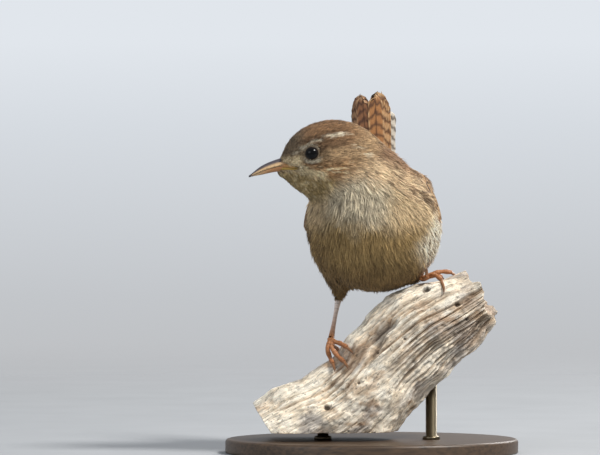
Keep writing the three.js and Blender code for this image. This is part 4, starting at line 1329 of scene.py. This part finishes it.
def make_leg(name):
    leg = LEGS[name]
    ankle, ball = leg["ankle"], leg["ball"]
    # The right shank is painted much paler towards the ankle than the left one: painted light
    front, upper = (vec(-0.2, -1, 0.3), SHANK_LIT) if name == "right" else (vec(-0.3, -0.4, 1), SHANK)
    radii = [TARSUS_RADIUS * k for k in (1.5, 1.05, 0.95, 1.1, 1.4)]
    path = curve([ankle, lerp(ankle, ball, 0.5), lerp(ankle, ball, 0.97)], 90)
    p, faces, tint = scaled_tube(path, radii, 20, 8, front, (upper, SHANK))
    dress(build(f"shank_{name}", p, faces, tint=tint), LEG, [f"tarsus_{name}"])

    ball_path = curve([ball + vec(0, 0, 0.5), ball, ball - vec(0, 0, 0.5)], 14)
    parts = [scaled_tube(ball_path, [0.5, 1.0, 1.1, 1.0, 0.5], 20, 2, vec(0, -1, 0), (SHANK, SHANK))]
    swell = [TOE_RADIUS * k for k in (1.1, 1.0, 0.84, 1.0, 0.78, 0.94, 0.72)]
    for toe, _ in leg["toes"]:
        colours = (SHANK, lerp(SHANK, TOE_SHADE, 0.35))
        parts.append(scaled_tube(curve([ball, *toe], 60), swell, 18, 9, FOOT_UP, colours))
    p, faces, tint = joined(parts)
    dress(build(f"toes_{name}", p, faces, tint=tint), LEG, [f"foot_{name}"])

    rows, sides = 36, 16
    t = np.linspace(0, 1, rows)
    shade = lerp(lerp(CLAW_BROWN, SHANK, 0.4), CLAW_BROWN * 0.7, t[:, None])
    for number, (toe, claw) in enumerate(leg["toes"], 1):
        heading = unit(toe[-1] - toe[-2])
        middle = lerp(toe[-1], claw, 0.5) + heading * 0.7
        path = curve([toe[-1] - heading * 0.2, middle, claw], rows)
        p, faces = tube(path, along([0.5, 0.44, 0.32, 0.05], t), sides, FOOT_UP, squash=0.8)
        made = build(f"claw_horn_{name}_{number}", p, faces, tint=tube_tint(shade, sides))
        dress(made, CLAW, [f"claw_{name}_{number}"])


for label in SIDES:
    make_leg(label)


# Flight feathers, wing coverts and tail feathers
RUFOUS = srgb(150, 96, 56)
RUFOUS_DARK = srgb(76, 48, 32)
FRINGE = srgb(186, 150, 110)
VANE_ROWS, VANE_COLUMNS = 44, 15


def vane_outline(u, blunt):
    end = np.maximum(0, (u - blunt) / (1 - blunt))
    return np.minimum(1, 0.35 + 1.7 * u) * np.sqrt(np.clip(1 - 0.97 * end**2.4, 0, 1))


def vane(place, root, tip, half_width, lift, tilt, pattern, seed, blunt=0.68):
    """A feather with a shaft and a barred vane, on a surface that place(along, across, height) gives."""
    root, tip = np.array(root, float), np.array(tip, float)
    run = tip - root
    side = unit(np.array([-run[1], run[0]]))
    u = np.linspace(0, 1, VANE_ROWS)[:, None] * np.ones((1, VANE_COLUMNS))
    v = np.linspace(-1, 1, VANE_COLUMNS)[None] * np.ones((VANE_ROWS, 1))
    flat = np.stack([u * 27, v * 0 + 5, v * 0 + seed * 3.7], axis=-1).reshape(-1, 3)
    edge = noise(flat, 91).reshape(u.shape) * smoothstep(0.6, 1, np.abs(v))
    ends = noise(np.stack([v * 6, v * 0, v * 0 + seed * 1.9], axis=-1).reshape(-1, 3), 92).reshape(u.shape)
    along_u = u * (1 + 0.03 * ends * smoothstep(0.7, 1, u)) - 0.02 * np.abs(v) * smoothstep(0.1, 0.5, u)
    across = v * half_width * vane_outline(u, blunt) * (1 + 0.07 * edge)
    a = root[0] + run[0] * along_u + side[0] * across
    b = root[1] + run[1] * along_u + side[1] * across
    shaft = np.exp(-((v * half_width / 0.16) ** 2)) * smoothstep(1, 0.9, u)
    height = lift + 0.42 - 0.13 * v**2 + tilt * v + 0.14 * shaft * (1 - 0.6 * u)
    points = place(a.reshape(-1), b.reshape(-1), height.reshape(-1))
    tint = pattern(u.reshape(-1), v.reshape(-1), np.linalg.norm(run), seed)
    tint = towards(tint, (RUFOUS_DARK * 0.8, 0.75 * shaft.reshape(-1)))
    return points, [grid_faces(VANE_ROWS, VANE_COLUMNS)], tint


def barred(base, dark, pale, pitch, share, tip_pale, bow=0.1):
    """A pattern of wavy bars across a vane, each one bowed towards the tip at the shaft."""

    def pattern(u, v, size, seed):
        wobble = 0.5 * noise(np.stack([u * 7, v * 1.3, 0 * u + seed], axis=1), 95)
        chevron = bow * np.abs(v) ** 1.5
        phase = (u * size / pitch + chevron + wobble * 0.5 + 0.13 * seed) * 2 * np.pi
        bar = smoothstep(0.5 - share, 1.15 - share, np.sin(phase))
        streak = noise(np.stack([u * 40, v * 9, 0 * u + seed], axis=1), 96)
        colour = towards(
            filled(base, len(u)),
            (dark, 0.85 * bar),
            (pale, tip_pale * smoothstep(0.75, 1, np.abs(v)) * (1 - bar)),
            (dark, 0.45 * smoothstep(0.9, 0.955, u) * smoothstep(0.985, 0.965, u)),
            (pale, 0.7 * smoothstep(0.975, 0.99, u)),
        )
        return colour * (1 + 0.12 * streak)[:, None]

    return pattern


def feather_piece(name, vanes, node):
    """One piece from its feathers, each with a strip of the map."""
    p, faces, tint = joined(vanes)
    count = len(vanes)
    down, over = np.linspace(0.02, 0.98, VANE_ROWS), np.linspace(0.04, 0.96, VANE_COLUMNS)
    u, v = np.meshgrid(down, over, indexing="ij")
    strips = [np.stack([u.reshape(-1), (k + v.reshape(-1)) / count], axis=1) for k in range(count)]
    made = build(name, p, faces, tint=tint, maps={"OFBake": np.concatenate(strips)})
    dress(made, VANES, [node])


def wing_place(side, rise):
    """A folded wing's surface: places forward, up and off it become points."""
    middle, hull = wing_bed(rise)
    bed = blended(bird_field, hull, 4)

    def place(forward, up, height):
        sunk = (1.4 if side > 0 else 0.3) * smoothstep(-15, -7, forward)
        sunk = sunk + 1.9 * smoothstep(-11, -19, forward)
        wanted = height * np.clip((8.5 - forward) / 6, 0.1, 1) - sunk
        low, high = np.zeros(len(forward)), np.full(len(forward), 30.0)
        for _ in range(22):
            half = (low + high) / 2
            beyond = bed(within(WING_AXES, middle, forward, side * half, up)) > wanted
            high = np.where(beyond, half, high)
            low = np.where(beyond, low, half)
        return within(WING_AXES, middle, forward, side * high, up)

    return place


QUILLS = barred(srgb(168, 132, 92), srgb(62, 44, 32), srgb(214, 196, 164), 2.6, 0.45, 0.7)
COVERTS = barred(RUFOUS, RUFOUS_DARK, FRINGE, 2.4, 0.42, 0.4)
SOFT = barred(srgb(158, 124, 88), srgb(60, 45, 34), srgb(216, 194, 156), 2.2, 0.46, 0.6)

# The rows of feathers over the quills: how many, the first one's seed, where the roots of the first and
# last are forward and up, how far the outer roots are drawn back, the same places for the tips, then
# half the width, the lift off the wing, the pattern and the tilt
WING_ROWS = [
    (3, 20, (-2, -2), (4.4, 6.8), 0, (-17, -12), (3.8, 6.4), 2.5, 0.65, COVERTS, -0.4),
    (12, 30, (3.5, 1.5), (-5.6, 6), 0, (-7, -5.5), (-6.6, 6), 1.5, 0.85, COVERTS, -0.35),
    (10, 50, (6.6, 6.6), (-4, 5.6), 3, (-0.5, -1.5), (-5, 6), 1.6, 1.15, SOFT, -0.3),
    (9, 70, (8.0, 8.0), (-4.4, 5.6), 3, (3.2, 3.2), (-5, 6), 1.5, 1.45, SOFT, -0.3),
]


def make_wing(side, name):
    place = wing_place(side, WING_RISE[name])
    vanes = []
    for k in range(13):
        t = k / 12
        reach = 25.5 - 16 * math.exp(-0.8 * k) - 0.5 * max(0, k - 4)
        root = (lerp(4, -1, t), lerp(-6, 3.8, t))
        tip = (-reach, lerp(-8.5, 3.6, t))
        vanes.append(vane(place, root, tip, 2.1, 0.15, -0.4, QUILLS if k < 5 else COVERTS, k))
    for count, seed, ahead, up, bend, tip_ahead, tip_up, wide, lift, pattern, tilt in WING_ROWS:
        for k in range(count):
            t = k / (count - 1)
            root = (lerp(*ahead, t) - bend * (2 * t - 1) ** 2, lerp(*up, t))
            tip = (lerp(*tip_ahead, t), lerp(*tip_up, t))
            vanes.append(vane(place, root, tip, wide, lift, tilt, pattern, seed + k))
    feather_piece(f"wing_feathers_{name}", vanes, f"wing_{name}")


for label, direction in SIDES.items():
    make_wing(direction, label)


def tail_place(a, b, height):
    off = (height - 0.05 * np.abs(b))[:, None]
    return TAIL_ROOT + a[:, None] * TAIL_ALONG + b[:, None] * TAIL_LEFT + off * TAIL_UPPER


# Each half of the tail: how far from the middle its first feather starts, how far apart the inner four
# and the outer two are, the first one's angle, how much it grows up to the fourth, and how much further
# out the last one is turned
TAIL_HALVES = {1: (1.1, 0.13, 0.75, 1.9, 0.77, 2.1), -1: (1.2, 0.33, 0.5, 0.9, 0.17, 0)}
TAIL_SHORTER = {1: [1.1, 0.3, 0, 0.4, 3.4, 5.6], -1: [1.4, 0.7, 0.6, 1.6, 3, 5]}
RUDDY = barred(srgb(148, 102, 70), srgb(74, 50, 40), srgb(196, 160, 122), 2.5, 0.5, 0.6, 0.3)
OCHRE = barred(srgb(166, 116, 72), srgb(80, 54, 40), srgb(214, 180, 136), 3.0, 0.4, 0.75, 0.3)
PALE = barred(srgb(206, 196, 180), srgb(70, 60, 54), srgb(232, 226, 214), 2.8, 0.48, 0.5, 0.3)

# The coverts over and under the tail: where the first and the last are across, the first one's lift and
# the next ones' step, how far the middle one reaches, how much the others fall short, then half the
# width, the pattern and the first one's seed
TAIL_COVERTS = [
    (-3.1, 3.3, 0.7, -0.08, 8.5, 0.2, 1.5, RUDDY, 40),
    (-3.3, 3.5, -3.4, 0.1, 12, 0.15, 1.6, PALE, 60),
]


def make_tail():
    vanes = []
    for k in range(6):
        for side in SIDES.values():
            first, apart, opened, angle, spread, out = TAIL_HALVES[side]
            length = TAIL_LENGTH - TAIL_SHORTER[side][k]
            outer = max(0, k - 3)
            angle = math.radians(angle + spread * min(k, 3) + (out if k == 5 else 0)) * side
            across = side * (first + apart * min(k, 3) + opened * outer)
            tip = (length * math.cos(angle), across + length * math.sin(angle))
            lift = -0.4 * k - (0.17 if side < 0 else 0)
            pattern = PALE if k == 5 else OCHRE if side > 0 else RUDDY
            wide = 2.2 - 0.17 * outer
            seed = k + 0.6 * side
            vanes.append(vane(tail_place, (-2, across), tip, wide, lift, -0.3 * side, pattern, seed, 0.94))
    for low, high, lift, step, reach, short, wide, pattern, seed in TAIL_COVERTS:
        for k in range(7):
            across = lerp(low, high, k / 6)
            root, tip = (-2, across * 0.7), (reach - short * across**2, across)
            vanes.append(vane(tail_place, root, tip, wide, lift + step * k, 0, pattern, seed + k))
    feather_piece("tail_feathers", vanes, "tail")


make_tail()


# The stand
def stand_material(name, dark, light, roughness, metallic, stretch):
    made, tree, base = material(name, Roughness=roughness, Metallic=metallic)
    drawn = fed_node(tree, "ShaderNodeMapping", place_of(tree), Scale=stretch)
    grain = noise_node(tree, drawn.outputs[0], 420, 6, 0.6)
    tree.links.new(ramp(tree, grain, [(0.3, dark), (0.7, light)]), base.inputs["Base Color"])
    bump(tree, grain, 0.15, 0.0002, base)
    return made


BOARD = stand_material("stand_board", srgb(52, 40, 30), srgb(92, 72, 54), 0.42, 0.0, (0.25, 3, 3))
METAL = stand_material("stand_pins", srgb(96, 88, 74), srgb(140, 128, 104), 0.34, 1.0, (3, 3, 0.3))


def lathe(name, profile, centre, depth_share, sides):
    """A turned form from (radius, height) pairs."""
    profile = np.array(profile, float)
    angle = circle(sides)
    ring = np.stack([np.cos(angle), depth_share * np.sin(angle)], axis=1)
    xy = profile[:, 0][:, None, None] * ring[None]
    z = np.repeat(profile[:, 1][:, None], sides, axis=1)[..., None]
    grid = np.concatenate([xy, z], axis=-1).reshape(-1, 3) + centre
    return build(name, grid, [grid_faces(len(profile), sides, closed=True)[:, ::-1]])


def rounded(radius, height, bevel):
    """The profile of a low round block with a softened foot and rim."""
    turns = np.linspace(0, math.pi / 2, 8)
    soft = 0.4
    foot = [(radius - soft + soft * math.sin(a), soft - soft * math.cos(a)) for a in turns]
    rim = [(radius - bevel + bevel * math.cos(a), height - bevel + bevel * math.sin(a)) for a in turns]
    return [(0.01, 0), (radius * 0.5, 0), *foot, *rim, (radius * 0.5, height), (0.01, height)]


base_oval = lathe("stand_base_oval", rounded(42, 4, 1.0), vec(0, 0, 0), 0.78, 200)
dress(base_oval, BOARD, ["stand_base"])
for label, x in (("left", -14), ("right", 17)):
    _, rod_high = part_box(f"stand_rod_{label}")
    top = rod_high[2] / MM + 0.6
    rod_profile = [(0.01, 4.02), (2.5, 4.02), (2.5, 4.7), (2.2, 5.0), (1.6, 5.05), (1.6, top), (0.01, top)]
    rod = lathe(f"stand_pin_{label}", rod_profile, vec(x, -3, 0), 1, 48)
    dress(rod, METAL, [f"stand_rod_{label}"])


# The floor fades into the backdrop
FLOOR_DROP = 0.05


def make_floor():
    rings = [(radius, 0) for radius in (0.001, *np.linspace(40, 2600, 60))]
    floor = lathe("studio_floor", rings, vec(0, 0, -FLOOR_DROP), 1, 96)
    made, tree, base = material("studio_floor_paint", Roughness=0.9)
    place = place_of(tree)
    mottle = noise_node(tree, place, 30, 4)
    paint = ramp(tree, mottle, [(0.3, srgb(158, 161, 165)), (0.7, srgb(164, 167, 171))])
    tree.links.new(paint, base.inputs["Base Color"])
    away = fed_node(tree, "ShaderNodeVectorMath", place)
    away.operation = "LENGTH"
    fade = fed_node(tree, "ShaderNodeMapRange", away.outputs["Value"], From_Min=0.12, From_Max=0.7)
    fade.interpolation_type = "SMOOTHSTEP"
    mixed = fed_node(tree, "ShaderNodeMixShader", fade.outputs[0])
    clear = tree.nodes.new("ShaderNodeBsdfTransparent")
    tree.links.new(base.outputs[0], mixed.inputs[1])
    tree.links.new(clear.outputs[0], mixed.inputs[2])
    tree.links.new(mixed.outputs[0], tree.nodes["Material Output"].inputs["Surface"])
    floor.data.materials.append(made)


make_floor()

# The backdrop's greys, from the horizon upwards
SKY = [
    (0.1, srgb(187, 188, 190)),
    (0.35, srgb(195, 198, 202)),
    (0.72, srgb(214, 219, 225)),
    (0.9, srgb(225, 230, 236)),
]


def make_world():
    """A backdrop that is graded by height, and dimmer as a light than as it is seen."""
    world = bpy.data.worlds.new("studio")
    bpy.context.scene.world = world
    world.use_nodes = True
    tree = world.node_tree
    back = tree.nodes["Background"]
    way = tree.nodes.new("ShaderNodeTexCoord").outputs["Generated"]
    parts = fed_node(tree, "ShaderNodeSeparateXYZ", way)
    tilt = fed_node(tree, "ShaderNodeMapRange", parts.outputs["Z"], From_Min=-0.067, From_Max=0.015)
    tree.links.new(ramp(tree, tilt.outputs[0], SKY), back.inputs["Color"])
    lit = tree.nodes.new("ShaderNodeLightPath")
    power = fed_node(tree, "ShaderNodeMapRange", lit.outputs["Is Camera Ray"], To_Min=0.55)
    tree.links.new(power.outputs[0], back.inputs["Strength"])


make_world()


# Soft studio lights
def area_light(name, place, target, size, power, colour):
    data = bpy.data.lights.new(name, "AREA")
    data.shape = "DISK"
    data.size = size
    data.energy = power
    data.color = colour
    lamp = bpy.data.objects.new(name, data)
    lamp.location = Vector(place)
    lamp.rotation_euler = (Vector(target) - Vector(place)).to_track_quat("-Z", "Y").to_euler()
    bpy.context.scene.collection.objects.link(lamp)


area_light("key", (0.62, -0.42, 0.92), (0, 0, 0.07), 0.28, 15.0, (1.0, 0.975, 0.93))
area_light("fill", (-0.8, -0.9, 0.45), (0, 0, 0.07), 0.7, 2.6, (0.94, 0.97, 1.0))
area_light("rim", (0.45, 0.8, 0.6), (0, 0, 0.07), 0.4, 5.0, (1.0, 0.98, 0.95))

# The camera looks level at the bird, as in the photograph
FRAME_WIDTH = 0.1714
DISTANCE = 1.6
ELEVATION = math.radians(1.5)
AIM = Vector((-0.02057, -0.005, 0.0647))
camera_data = bpy.data.cameras.new("camera")
camera_data.sensor_width = 36
camera_data.lens = 36 * DISTANCE / FRAME_WIDTH
camera_data.clip_start = 0.05
camera_data.clip_end = 20
camera = bpy.data.objects.new("camera", camera_data)
camera.location = AIM + Vector((0, -math.cos(ELEVATION), math.sin(ELEVATION))) * DISTANCE
camera.rotation_euler = (AIM - camera.location).to_track_quat("-Z", "Y").to_euler()
bpy.context.scene.collection.objects.link(camera)
bpy.context.scene.camera = camera
bpy.context.scene.view_settings.view_transform = "Standard"
